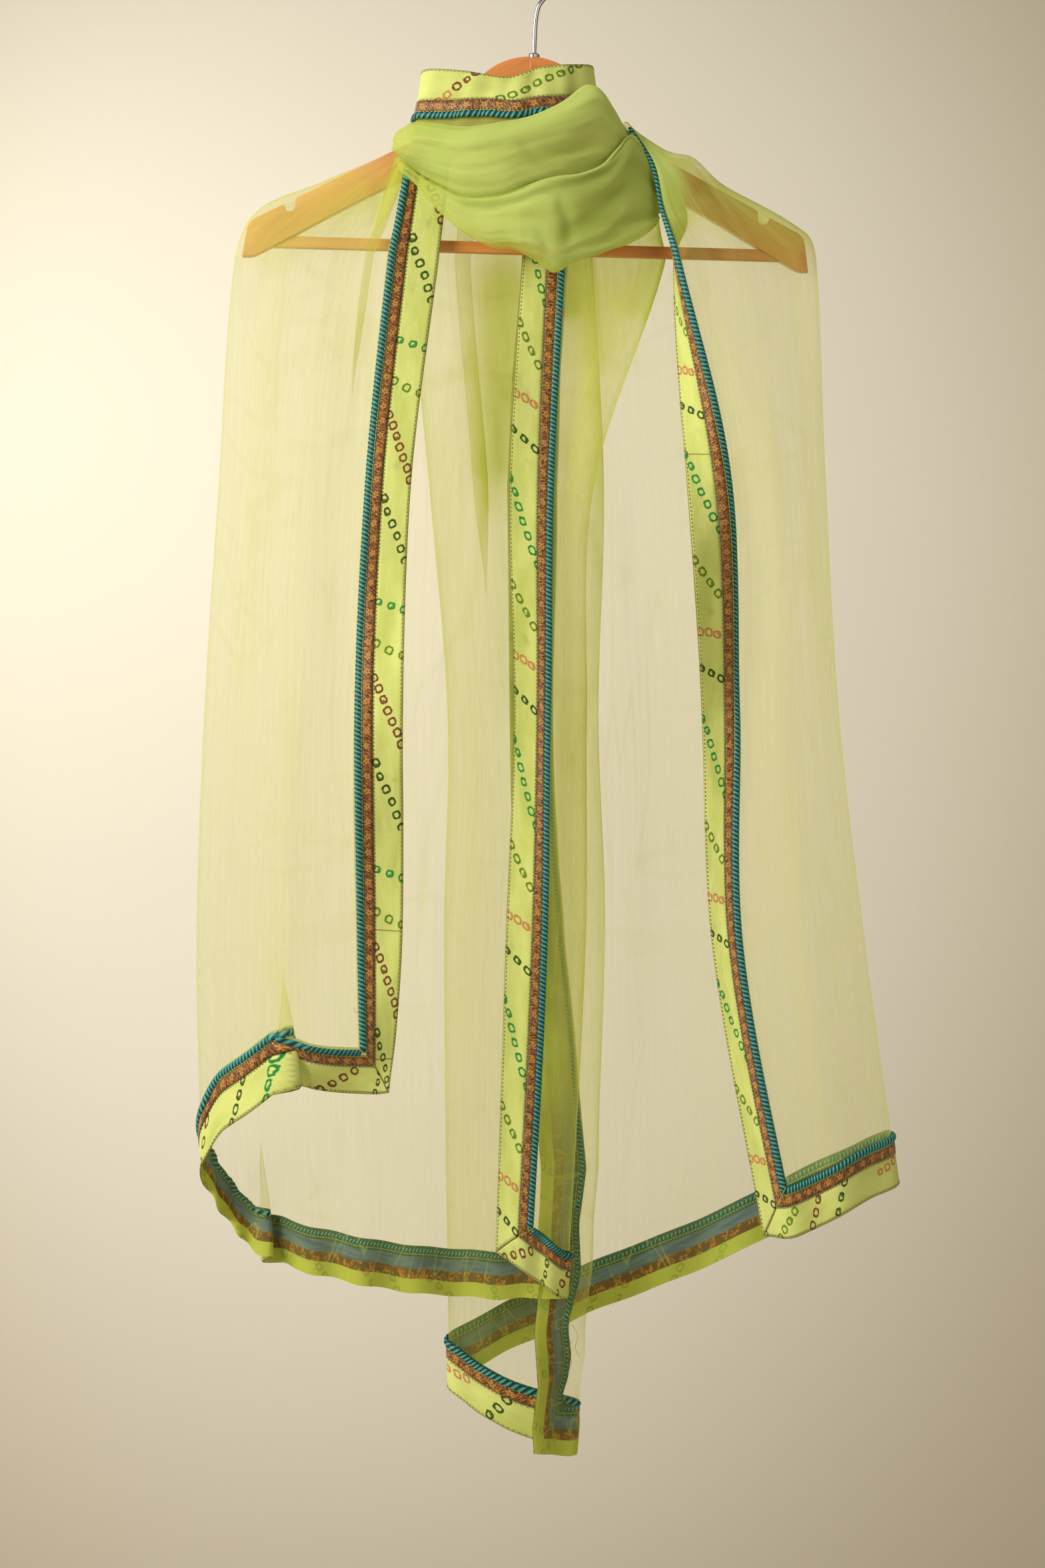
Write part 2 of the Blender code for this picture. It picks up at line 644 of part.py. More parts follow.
def build_ferrule(material):
    """A small ring on the hump, round the foot of the wire."""
    mesh = bmesh.new()
    inner = WIRE_RADIUS + SEAM_GAP
    base = HUMP_TOP + SEAM_GAP
    profile = (
        (inner, base),
        (FERRULE_RADIUS, base),
        (FERRULE_RADIUS, base + FERRULE_HEIGHT - 1.0),
        (FERRULE_RADIUS - 1.0, base + FERRULE_HEIGHT),
        (inner, base + FERRULE_HEIGHT),
    )
    ring = [mesh.verts.new((r * MM, 0.0, z * MM)) for r, z in profile]
    edges = [mesh.edges.new((ring[k], ring[(k + 1) % len(ring)])) for k in range(len(ring))]
    bmesh.ops.spin(
        mesh, geom=ring + edges, axis=(0, 0, 1), cent=(0, 0, 0), angle=2 * pi, steps=20, use_merge=True
    )
    bmesh.ops.triangulate(mesh, faces=mesh.faces[:])
    bmesh.ops.recalc_face_normals(mesh, faces=mesh.faces[:])
    piece = finish("hook_ferrule", mesh, material)
    piece.data.shade_smooth()
    piece.data.set_sharp_from_angle(angle=radians(30))


def build_hanger(materials):
    build_arm("hanger_arm_left", -1, materials["wood"])
    build_arm("hanger_arm_right", 1, materials["wood"])
    build_bar(materials["wood"])
    build_hook(materials["chrome"])
    build_ferrule(materials["chrome"])


def clear_scene():
    for old in list(bpy.data.objects):
        bpy.data.objects.remove(old, do_unlink=True)


def main():
    clear_scene()
    materials = build_materials()
    build_hanger(materials)
    build_neck(materials)
    build_ends(materials)


main()
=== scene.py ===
from math import cos, pi, radians, sin

import bmesh
import bpy
import numpy as np
from mathutils import Matrix, Vector


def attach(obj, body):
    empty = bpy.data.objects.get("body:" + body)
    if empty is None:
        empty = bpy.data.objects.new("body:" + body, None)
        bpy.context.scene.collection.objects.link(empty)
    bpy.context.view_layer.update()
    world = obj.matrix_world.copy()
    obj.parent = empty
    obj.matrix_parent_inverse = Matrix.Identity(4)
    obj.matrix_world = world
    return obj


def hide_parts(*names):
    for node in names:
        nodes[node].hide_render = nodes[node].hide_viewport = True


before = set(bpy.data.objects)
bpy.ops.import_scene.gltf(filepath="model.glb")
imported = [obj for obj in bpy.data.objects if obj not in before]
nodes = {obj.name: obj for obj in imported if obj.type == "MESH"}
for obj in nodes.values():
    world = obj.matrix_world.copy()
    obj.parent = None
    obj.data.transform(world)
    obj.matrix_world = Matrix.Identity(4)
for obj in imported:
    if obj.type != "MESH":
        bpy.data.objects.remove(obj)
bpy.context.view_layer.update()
mm = 0.001  # every table below is in millimetres
print("frame loaded:", len(nodes), "nodes")


def addObject(name, data):
    thing = bpy.data.objects.new(name, data)
    bpy.context.scene.collection.objects.link(thing)
    return thing


def meshFrom(shape, name):
    mesh = bpy.data.meshes.new(name)
    shape.to_mesh(mesh)
    shape.free()
    return mesh


room = {
    "cameraAt": (-0.0089, -2.8, -0.6537),
    "lens": 82.2,
    "floorZ": -2.7,
    "radius": 7.6,
    "cove": 2.2,
    "above": 2.6,  # how far the wall goes on over the cove
    "wall": (0.84, 0.795, 0.69, 1),
    "wallPaintedShade": (0.595, 0.52, 0.395, 1),  # painted shade: the paper's colour darkens away from the lit middle of the backdrop
    "fleck": (0.3, 0.28, 0.22, 1),
    "middle": (-0.2, 0, 0),
    "squash": (1, 0, 0.74),
    "world": (0.95, 0.90, 0.76, 1.0),
    "worldStrength": 0.28,
}


def buildCamera():
    data = bpy.data.cameras.new("studioCamera")
    data.sensor_width = 36
    data.lens = room["lens"]
    camera = addObject("studioCamera", data)
    camera.location = room["cameraAt"]
    camera.rotation_euler = (radians(90), 0, 0)
    bpy.context.scene.camera = camera
    bpy.context.scene.view_settings.view_transform = "Standard"


# where each stands, what it looks at, its width and height, power and colour
lights = {
    "key": ((-3.1, -1.9, 0.9), (0, 0, -0.5), (2.4, 2.4), 165, (1, 0.97, 0.90)),
    "fill": ((2.2, -3.2, -0.2), (0, 0, -0.6), (2.6, 2.6), 30, (1, 0.95, 0.87)),
    "wallGlow": ((-1.15, 4.9, 0.45), (-1.05, 7.5, 0.15), (1.2, 1.2), 64, (1, 0.97, 0.90)),
    "backGlow": ((-1.6, 2.4, -0.5), (0, 0, -0.6), (2.4, 2.6), 22, (1, 0.96, 0.88)),
}


def buildLight(name, place, aim, size, power, colour):
    data = bpy.data.lights.new(name, "AREA")
    data.shape = "RECTANGLE"
    data.size, data.size_y = size
    data.energy = power
    data.color = colour
    lamp = addObject(name, data)
    lamp.location = place
    lamp.rotation_euler = (Vector(aim) - Vector(place)).to_track_quat("-Z", "Y").to_euler()
    lamp.visible_camera = False


def buildRoom(material):
    world = bpy.data.worlds.new("studioWorld")
    world.use_nodes = True
    shade = world.node_tree.nodes["Background"]
    shade.inputs["Color"].default_value = room["world"]
    shade.inputs["Strength"].default_value = room["worldStrength"]
    bpy.context.scene.world = world
    shell = bmesh.new()
    reach, cove, low = room["radius"], room["cove"], room["floorZ"]
    profile = [(0.001, low), (reach - cove, low)]
    for turn in range(10, 91, 10):
        turn = radians(turn)
        profile.append((reach - cove + cove * sin(turn), low + cove - cove * cos(turn)))
    profile.append((reach, low + cove + room["above"]))
    ring = [shell.verts.new((x, 0, z)) for x, z in profile]
    edges = [shell.edges.new(pair) for pair in zip(ring, ring[1:])]
    about = {"axis": (0, 0, 1), "cent": (0, 0, 0), "angle": 2 * pi}
    bmesh.ops.spin(shell, geom=ring + edges, steps=96, use_merge=True, **about)
    bmesh.ops.remove_doubles(shell, verts=shell.verts[:], dist=1e-5)
    bmesh.ops.recalc_face_normals(shell, faces=shell.faces[:])
    mesh = meshFrom(shell, "studioFloor")
    mesh.shade_smooth()
    mesh.materials.append(material)
    addObject("studioFloor", mesh)


class Wire:  # a node's output, which sums and products turn into more nodes
    def __init__(self, socket):
        self.socket = socket
        self.tree = socket.id_data


def wired(operation):
    return lambda *values: calc(operation, *values)


signs = {"add": "ADD", "sub": "SUBTRACT", "mul": "MULTIPLY", "truediv": "DIVIDE", "pow": "POWER"}
signs.update({"mod": "FLOORED_MODULO", "abs": "ABSOLUTE"})
for sign, operation in signs.items():
    setattr(Wire, f"__{sign}__", wired(operation))


def put(kind, inputs=None, tree=None, **settings):
    inputs = inputs or {}
    tree = tree or next(value.tree for value in inputs.values() if isinstance(value, Wire))
    node = tree.nodes.new("ShaderNode" + kind)
    for key, value in settings.items():
        setattr(node, key, value)
    for key, value in inputs.items():
        if isinstance(value, Wire):
            tree.links.new(value.socket, node.inputs[key])
        else:
            node.inputs[key].default_value = value
    return [Wire(socket) for socket in node.outputs]


def named(wires, name):
    return next(wire for wire in wires if wire.socket.name == name)


def calc(operation, *values, clamp=False):
    return put("Math", dict(enumerate(values)), operation=operation, use_clamp=clamp)[0]


def vectorCalc(operation, *values):
    vector, number = put("VectorMath", dict(enumerate(values)), operation=operation)
    return number if operation in ("LENGTH", "DOT_PRODUCT") else vector


def between(value, low, high, start=0, stop=1):  # a smooth step
    span = {"Value": value, "From Min": low, "From Max": high, "To Min": start, "To Max": stop}
    return put("MapRange", span, interpolation_type="SMOOTHSTEP")[0]


def mixColour(factor, first, second):
    return put("Mix", {0: factor, 6: first, 7: second}, data_type="RGBA")[2]


def tinted(first, second, value, *steps):  # goes from one colour to another as the value goes up
    return mixColour(between(value, *steps), first, second)


def mixShader(factor, first, second):
    return put("MixShader", {0: factor, 1: first, 2: second})[0]


def rgb(*colour):  # a display colour as the renderer's own
    shares = [c / 255 for c in colour]
    return (*(s / 12.92 if s <= 0.04045 else ((s + 0.055) / 1.055) ** 2.4 for s in shares), 1)


def noise(place, scale, detail=2, rough=0.5, out="Fac"):
    inputs = {"Vector": place, "Scale": scale, "Detail": detail, "Roughness": rough}
    return named(put("TexNoise", inputs), out)


def grain(place, stretch, *given, turn=0):  # noise turned and then drawn out
    turn = turn if isinstance(turn, tuple) else (0, 0, turn)
    size = tuple(1 / s for s in stretch)
    place = put("Mapping", {"Vector": place, "Scale": size, "Rotation": turn}, vector_type="TEXTURE")[0]
    return noise(place, *given)


def veins(grey, wide, strength):  # thin lines where the noise passes its middle
    return between(abs(grey - 0.5), *wide, strength, 0)


def bump(height, strength, distance):
    return put("Bump", {"Height": height, "Strength": strength, "Distance": distance})[0]


def split(vector):
    return put("SeparateXYZ", {0: vector})


def clothPlace(tree):  # in metres across and up the cloth
    return put("UVMap", tree=tree, uv_map="cloth")[0]


def millimetres(tree):
    return vectorCalc("MULTIPLY", clothPlace(tree), (1000, 1000, 0))


def roomPlace(tree):
    return named(put("TexCoord", tree=tree), "Object")


def principled(colour, rough, normal, shine=0.5, **more):
    inputs = {"Base Color": colour, "Roughness": rough, "Normal": normal, "Specular IOR Level": shine}
    return put("BsdfPrincipled", {**inputs, **more})[0]


def newMaterial(name, surface, *given):
    material = bpy.data.materials.new(name)
    material.use_nodes = True
    tree = material.node_tree
    tree.nodes.clear()
    put("OutputMaterial", {"Surface": surface(tree, *given)})
    return material


def wallSurface(tree):
    place = roomPlace(tree)
    apart = vectorCalc("MULTIPLY", vectorCalc("SUBTRACT", place, room["middle"]), room["squash"])
    # painted shade: the wall's colour darkens with distance from its lit middle
    colour = tinted(room["wall"], room["wallPaintedShade"], vectorCalc("LENGTH", apart), 1.2, 2.8)
    colour = mixColour(noise(place, 1.3, 3) * 0.03, colour, room["fleck"])
    inputs = {"Base Color": colour, "Roughness": 0.95, "Specular IOR Level": 0.1}
    return put("BsdfPrincipled", inputs)[0]


organza = {
    "cover": 0.135,  # how much of one layer is thread
    "thread": (0.92, 0.94, 0.27, 1),
    "dense": (0.68, 0.79, 0.235, 1),
    # painted shade: the darker colour that thick stacks of cloth are painted
    "deep": (0.44, 0.53, 0.115, 1),
    "tint": (0.99, 0.99, 0.93, 1),
    "filter": (0.88, 0.97, 0.40, 1),
    "sheen": (0.78, 0.82, 0.22, 1),
    "edge": 0.16,
}


def organzaSurface(tree):
    cloth = clothPlace(tree)
    layers = named(put("Attribute", tree=tree, attribute_name="layers"), "Fac")
    streak = grain(cloth, (1, 0.035, 1), 210, 3, 0.6)
    slub = grain(cloth, (1, 0.02, 1), 460, 1)
    crush = grain(cloth, (1, 0.12, 1), 70, 3, 0.55, turn=0.06)
    broad = grain(cloth, (1, 0.16, 1), 17, 2, 0.5, turn=-0.1)
    wrinkle = veins(grain(cloth, (1, 0.07, 1), 34, 2, 0.45, turn=0.05), (0.003, 0.022), 0.6)
    wrinkle = wrinkle * between(noise(cloth, 9), 0.42, 0.62)
    across = veins(grain(cloth, (0.35, 1, 1), 13, 2, 0.4, turn=0.3), (0.004, 0.035), 0.4)
    across = across * between(noise(cloth, 5, 1), 0.45, 0.6)
    weight = between(streak, 0.28, 0.74) * 0.44 + wrinkle + across
    weight = weight + slub * 0.20 + crush * 0.40 + broad * 0.95
    clear = calc("POWER", 1 - organza["cover"], layers * weight)
    cover = calc("SUBTRACT", 1, clear, clamp=True)
    colour = tinted(organza["thread"], organza["dense"], layers, 2.4, 11)
    # painted shade: past 15 layers the cloth is painted darker, for the shade inside thick stacks
    colour = tinted(colour, organza["deep"], layers, 15, 30)
    normal = bump(streak + crush * 1.6, 0.3, 0.0008)
    front = put("BsdfDiffuse", {"Color": colour, "Roughness": 0.4, "Normal": normal})[0]
    through = put("BsdfTranslucent", {"Color": colour, "Normal": normal})[0]
    threads = mixShader(between(layers, 2, 12, 0.5, 0.18), front, through)
    filtered = tinted(organza["tint"], organza["filter"], layers, 1.4, 8)
    sheer = mixShader(cover, put("BsdfTransparent", {"Color": filtered})[0], threads)
    facing = named(put("LayerWeight", {"Blend": 0.5}, tree), "Facing")
    lustre = calc("MULTIPLY", facing**3, organza["edge"], clamp=True)
    sheen = put("BsdfSheen", {"Color": organza["sheen"], "Roughness": 0.5}, tree)[0]
    return mixShader(lustre, sheer, mixShader(0.35, threads, sheen))


printCloth = {
    "lit": rgb(246, 253, 156),
    "shade": rgb(224, 234, 126),
    "stain": rgb(140, 160, 90),
    "repeat": 205,
    "raw": rgb(110, 74, 40),
    "weave": rgb(150, 165, 70),
    "square": 2.6,  # how square a dot is
    "ring": 2.75,  # radius of a tied dot
    "line": 0.84,
    "colours": {
        "dark": rgb(58, 92, 30),
        "bright": rgb(24, 160, 72),
        "olive": rgb(112, 152, 34),
        "brown": rgb(136, 74, 48),
        "salmon": rgb(226, 150, 100),
    },
    # rows of tied dots: from and to as (in from the outer edge, up the band), and how many
    "left": (
        ("dark", (22.5, 52), (1.5, 2), 6),
        ("brown", (23.5, 118), (1, 66), 7),
        ("olive", (23.5, 144), (0.5, 134), 3),
        ("bright", (22.5, 176), (0.5, 170), 3),
    ),
    "right": (
        ("bright", (0.5, 200), (24.5, 142), 7),
        ("olive", (1, 116), (20.5, 92), 4),
        ("salmon", (2.5, 62), (18.5, 60), 3),
        ("dark", (2, 34), (21, 26), 3),
    ),
    "hem": (
        ("dark", (20, 17), (1, 23), 3),
        ("brown", (21, 46), (1, 74), 4),
        ("bright", (24, 112), (1, 121), 4),
        ("dark", (23, 143), (1, 158), 4),
        ("brown", (22, 192), (3, 204), 3),
    ),
    "hemRight": (
        ("bright", (23, 9), (2, 3), 3),
        ("olive", (1, 22), (20, 44), 4),
        ("brown", (3, 62), (21, 72), 3),
        ("dark", (4, 92), (24, 101), 3),
        ("salmon", (20, 158), (17, 140), 3),
        ("dark", (4, 180), (23, 192), 3),
    ),
    "collar": (
        ("brown", (0.5, 66), (13.5, 52), 3),
        ("salmon", (20, 45), (26, 39), 2),
        ("olive", (23, 86), (0.5, 148), 8),
    ),
}


def ringRow():  # one row of tied dots, as a group: how much dye lies at a place on the cloth
    group = bpy.data.node_groups.new("tiedRow", "ShaderNodeTree")
    kinds = {"Vector": ("Place", "Wobble", "Start", "Along", "Across"), "Float": ("Pitch", "Last", "Seed")}
    for kind, names in kinds.items():
        for name in names:
            group.interface.new_socket(name, in_out="INPUT", socket_type="NodeSocket" + kind)
    group.interface.new_socket("Dye", in_out="OUTPUT", socket_type="NodeSocketFloat")
    given = {socket.name: Wire(socket) for socket in group.nodes.new("NodeGroupInput").outputs}
    apart = vectorCalc("SUBTRACT", given["Place"], given["Start"])
    along = vectorCalc("DOT_PRODUCT", apart, given["Along"])
    across = vectorCalc("DOT_PRODUCT", apart, given["Across"])
    step = calc("MAXIMUM", calc("ROUND", along / given["Pitch"]), 0)
    step = calc("MINIMUM", step, given["Last"])
    chance = put("TexWhiteNoise", {"W": step + given["Seed"]}, noise_dimensions="1D")
    red, green, blue = put("SeparateColor", {"Color": named(chance, "Color")})
    wobble = split(given["Wobble"])
    along = along - step * given["Pitch"] + wobble[0]
    across = (red - 0.5) * 1.6 + (across + wobble[1])
    lopsided = across * (green * 0.35 + 0.92)
    power = printCloth["square"]
    reach = (abs(along) ** power + abs(lopsided) ** power) ** (1 / power)
    size = blue * 0.55 + (printCloth["ring"] - 0.3)
    line = printCloth["line"]
    rim = between(abs(reach - size), line - 0.25, line + 0.25, 1, 0)
    blot = calc("GREATER_THAN", green, 0.62) * between(along + across * 0.7, 0.1, 0.7)
    blot = blot * calc("LESS_THAN", reach, size)
    result = group.nodes.new("NodeGroupOutput")
    group.links.new(calc("MAXIMUM", rim, blot * 0.85).socket, result.inputs["Dye"])
    return group


def dyedRows(place, rows, group, colour, strength=1, repeat=True):
    if repeat:
        inset, run, _ = split(place)
        place = put("CombineXYZ", {0: inset, 1: run % printCloth["repeat"]})[0]
    wander = vectorCalc("SUBTRACT", noise(place, 0.55, out="Color"), (0.5, 0.5, 0.5))
    wander = vectorCalc("MULTIPLY", wander, (2, 2, 0))
    patchy = between(noise(place, 0.9, 3, 0.7), 0.2, 0.45, 0.72, 1)
    for index, (dye, start, stop, count) in enumerate(rows):
        reach = Vector((stop[0] - start[0], stop[1] - start[1], 0))
        along = reach.normalized()
        row = {"Place": place, "Wobble": wander, "Start": (*start, 0), "Along": along}
        row.update({"Across": (-along.y, along.x, 0), "Pitch": reach.length / (count - 1)})
        row.update({"Last": count - 1, "Seed": 17 * index + 3})
        amount = put("Group", row, node_tree=group)[0] * (patchy * strength)
        colour = mixColour(amount, colour, printCloth["colours"][dye])
    return colour


def printSurface(tree, rows, group, repeat=True):
    place = millimetres(tree)
    # painted light and shade: the print is mottled at random between a lit and a shaded colour
    paintedLightAndShade = grain(place, (1, 0.35, 1), 0.045, 3)
    colour = tinted(printCloth["lit"], printCloth["shade"], paintedLightAndShade, 0.35, 0.72)
    colour = tinted(colour, printCloth["stain"], noise(place, 0.032, 4, 0.6), 0.60, 0.80, 0, 0.35)
    colour = dyedRows(place, rows, group, colour, repeat=repeat)
    colour = tinted(colour, printCloth["raw"], split(place)[0], 0.35, 0.8, 0.75, 0)
    weave = grain(place, (3.2, 0.5, 1), 1, 1) + grain(place, (0.5, 3.2, 1), 1, 1)
    colour = tinted(colour, printCloth["weave"], weave, 0.7, 1.3, 0, 0.10)
    crumple = grain(place, (1, 0.5, 1), 0.12, 3)
    normal = bump(crumple * 6 + weave, 0.35, 0.0004)
    through = put("BsdfTranslucent", {"Color": colour, "Normal": normal})[0]
    return mixShader(0.22, principled(colour, 0.82, normal, 0.2), through)


brocade = {
    "ground": rgb(98, 56, 17),
    "warm": rgb(160, 98, 35),
    "dark": rgb(40, 25, 10),
    "gold": rgb(212, 152, 66),
    "flower": 11.5,
    "middle": 4.6,
    "half": 4.5,
    "cord": 0.55,
}


def ribbonSurface(tree):
    place = millimetres(tree)
    inset, run, _ = split(place)
    strokes = grain(place, (0.5, 1.6, 1), 0.62, turn=0.5)
    colour = tinted(brocade["ground"], brocade["warm"], strokes, 0.36, 0.62)
    dashes = grain(place, (0.30, 1.3, 1), 0.8, 1, turn=0.6)
    colour = tinted(colour, brocade["dark"], dashes, 0.53, 0.59, 0, 0.9)
    thread = grain(place, (0.30, 1.4, 1), 0.8, 1, turn=0.45)
    colour = tinted(colour, brocade["gold"], thread, 0.56, 0.62, 0, 0.8)
    up = run % brocade["flower"] - brocade["flower"] / 2
    side = inset - brocade["middle"]
    petals = calc("COSINE", calc("ARCTAN2", up, side) * 5) * 0.75 + 2.3
    length = vectorCalc("LENGTH", put("CombineXYZ", {0: side, 1: up})[0])
    flower = between(length - petals, -0.35, 0.15, 1, 0) * between(length, 0.5, 0.9)
    colour = mixColour(flower * 0.85, colour, brocade["gold"])
    colour = tinted(colour, brocade["dark"], abs(inset - brocade["half"]), 3.9, 4.3, 0, 0.8)
    cord = calc("SINE", run * (2 * pi / brocade["cord"]))
    normal = bump(flower * 2 + (strokes + cord * 0.15), 0.7, 0.0003)
    return principled(colour, 0.42, normal, **{"Sheen Weight": 0.25})


piping = {"pitch": 3.4, "light": rgb(74, 180, 158), "dark": rgb(6, 38, 56), "mid": rgb(16, 94, 104)}


def pipingSurface(tree):
    turn, run, _ = split(clothPlace(tree))
    phase = run * (1 / (piping["pitch"] * mm)) - turn * 2
    share = calc("FRACT", phase)
    colour = tinted(piping["dark"], piping["mid"], share, 0.22, 0.32)
    light = between(share, 0.46, 0.54) * between(share, 0.92, 0.84)
    colour = mixColour(light, colour, piping["light"])
    fibre = noise(put("CombineXYZ", {0: phase * 9, 1: turn * 6})[0], 1)
    colour = tinted(colour, piping["dark"], fibre, 0.4, 0.75, 0, 0.35)
    return principled(colour, 0.5, bump(fibre + light * 0.6, 0.6, 0.0003), 0.45)


underside = {
    "lime": rgb(204, 214, 92),
    "gold": rgb(116, 80, 44),
    "motif": rgb(196, 136, 60),
    "slate": rgb(112, 144, 160),
    "slateDark": rgb(88, 116, 136),
    "serged": rgb(84, 130, 94),
    "sergedDark": rgb(42, 84, 66),
    "pleat": rgb(190, 202, 112),
    # painted light: the pale colour the wrong side is painted higher up
    "paintedLight": rgb(238, 250, 178),
    "rise": (-0.97, -0.86),  # painted light: going up between these heights the wrong side is painted paler and lets more light through
    "seam": 33.6,
}


def undersideSurface(tree, group):
    place = millimetres(tree)
    inset, run, _ = split(place)
    colour = dyedRows(place, printCloth["hem"], group, underside["lime"], 0.35)
    motif = noise(place, 0.42) * 0.7 + grain(place, (1, 1.3, 1), 0.11, 1) * 0.6
    brown = tinted(underside["gold"], underside["motif"], motif, 0.67, 0.74)
    slate = grain(place, (1, 0.2, 1), 0.2)
    slate = tinted(underside["slate"], underside["slateDark"], slate, 0.4, 0.65)
    zigzag = calc("PINGPONG", inset * 0.8 + run, 1.4)
    serged = tinted(underside["serged"], underside["sergedDark"], zigzag, 0.3, 1)
    for start, band in ((12.3, brown), (20.8, slate), (31.2, serged)):
        colour = tinted(colour, band, inset, start, start + 0.6)
    dash = between(calc("PINGPONG", run, 1.3), 0.25, 0.5)
    seam = between(abs(inset - underside["seam"]), 0.25, 0.6, 0.8, 0) * dash
    colour = mixColour(seam, colour, underside["pleat"])
    fold = veins(grain(place, (0.2, 1, 1), 0.05, 1, turn=0.35), (0.003, 0.013), 0.5)
    colour = mixColour(fold, colour, underside["pleat"])
    # painted light: above these heights the wrong side is painted paler and made more translucent
    height = split(roomPlace(tree))[2]
    colour = tinted(colour, underside["paintedLight"], height, *underside["rise"], 0, 0.9)
    shader = principled(colour, 0.8, bump(noise(place, 0.5, 3), 0.4, 0.0004), 0.2)
    passed = between(height, *underside["rise"], 0.25, 0.55)
    return mixShader(passed, shader, put("BsdfTranslucent", {"Color": colour})[0])


def threadSurface(tree, colour, other):
    ply = noise(roomPlace(tree), 2600)
    return principled(mixColour(ply, colour, other), 0.6, bump(ply, 0.5, 0.0002))


wood = {
    "light": rgb(230, 154, 86),
    "mid": rgb(216, 128, 62),
    "dark": rgb(174, 92, 44),
    "paintedLightLeft": rgb(250, 212, 160),  # painted light: paler towards the left end
    "paintedShadeRight": rgb(150, 96, 50),  # painted shade: darker towards the right end
}


def woodSurface(tree, slope):
    place = roomPlace(tree)
    turn = (0, radians(slope), 0)
    fine = grain(place, (0.06, 1, 1), 260, 5, 0.6, turn=turn)
    broad = grain(place, (0.10, 0.6, 1), 46, 3, turn=turn)
    pores = grain(place, (0.03, 1, 1), 1500, turn=turn)
    colour = tinted(wood["mid"], wood["light"], broad, 0.3, 0.7)
    colour = tinted(colour, wood["dark"], fine, 0.48, 0.72, 0, 0.55)
    colour = tinted(colour, wood["dark"], pores, 0.62, 0.75, 0, 0.35)
    along = split(place)[0]
    # painted light towards the left end, painted shade towards the right end
    colour = tinted(colour, wood["paintedLightLeft"], along, -0.18, -0.04, 0.55, 0)
    colour = tinted(colour, wood["paintedShadeRight"], along, 0.05, 0.16, 0, 0.5)
    normal = bump(fine + pores * 0.5, 0.25, 0.0002)
    return principled(colour, 0.38, normal, **{"Coat Weight": 0.25, "Coat Roughness": 0.2})


def chromeSurface(tree):
    drawn = grain(roomPlace(tree), (1, 1, 0.05), 1800)
    colour = mixColour(drawn, (0.40, 0.41, 0.43, 1), (0.58, 0.58, 0.60, 1))
    rough = between(drawn, 0.2, 0.8, 0.14, 0.26)
    return principled(colour, rough, bump(drawn, 0.1, 0.0001), Metallic=1)


dots = ringRow()
recipes = {
    "wall": ("studioPaper", wallSurface),
    "organza": ("limeOrganza", organzaSurface),
    "printLeft": ("printLeft", printSurface, printCloth["left"], dots),
    "printRight": ("printRight", printSurface, printCloth["right"], dots),
    "printHem": ("printHem", printSurface, printCloth["hem"], dots),
    "printHemRight": ("printHemRight", printSurface, printCloth["hemRight"], dots),
    "printCollar": ("printCollar", printSurface, printCloth["collar"], dots, False),
    "ribbon": ("brocadeRibbon", ribbonSurface),
    "piping": ("twistedPiping", pipingSurface),
    "underside": ("borderUnderside", undersideSurface, dots),
    "darkThread": ("oliveThread", threadSurface, rgb(84, 72, 34), rgb(120, 96, 44)),
    "redThread": ("redThread", threadSurface, rgb(190, 92, 58), rgb(150, 70, 44)),
    "limeThread": ("limeThread", threadSurface, rgb(214, 214, 96), rgb(180, 190, 90)),
    "woodLeft": ("orangeWoodLeft", woodSurface, -28),
    "woodRight": ("orangeWoodRight", woodSurface, 28),
    "woodBar": ("orangeWoodBar", woodSurface, 1.6),
    "chrome": ("plainChrome", chromeSurface),
}

buildCamera()
materials = {key: newMaterial(*recipe) for key, recipe in recipes.items()}
buildRoom(materials["wall"])
for name, lamp in lights.items():
    buildLight(name, *lamp)
print("camera, lights, room and", len(materials), "materials made")


border = {
    # each band: from and to across it, how far it lies out from the sheer cloth, columns and crown
    "Underside": (0.2, 40.9, 0.45, 10),
    "Print": (0, 25.3, 0.95, 7),
    "Ribbon": (25, 34.2, 1.35, 4, 0.25),
    "piping": (34, 39.5),
    "pipingOut": 1.9,
    "pipingSize": (2.75, 1.8),
    "thick": {"Print": 0.4, "Ribbon": 0.5},
    "deep": 39.5,
    "mitre": 0.25,
    # each line of stitches: how far out, their pitch, length and width
    "edge": (1.5, 3.1, 1.7, 0.42),
    "inner": (1.5, 2.9, 1.5, 0.35),
    "join": (1.6, 1.9, 1.3, 0.4),
    "rope": (2.3, 2.6, 1.9, 0.5),
    "ribbonMitre": (2.2, 1.5, 1.2, 0.45),
    "ropeMitre": (4, 1.5, 1.2, 0.45),
    "stitchThick": 0.3,
}
clothWidth = 700
probe = 1.5  # how far apart the cloth is felt for its slope


def runsAlong(route):  # how far along a line each of its points lies
    return np.concatenate(([0], np.cumsum(np.linalg.norm(np.diff(route, axis=0), axis=1))))


def unit(rows):
    return rows / np.maximum(np.linalg.norm(rows, axis=1), 1e-9)[:, None]


def bell(value, wide):
    return np.exp(-((value / wide) ** 2))


def following(value, pairs):  # read off a table of pairs
    return np.interp(value, *zip(*pairs))


def smoothStep(value, low, high):
    s = np.clip((value - low) / (high - low), 0, 1)
    return s * s * (3 - 2 * s)


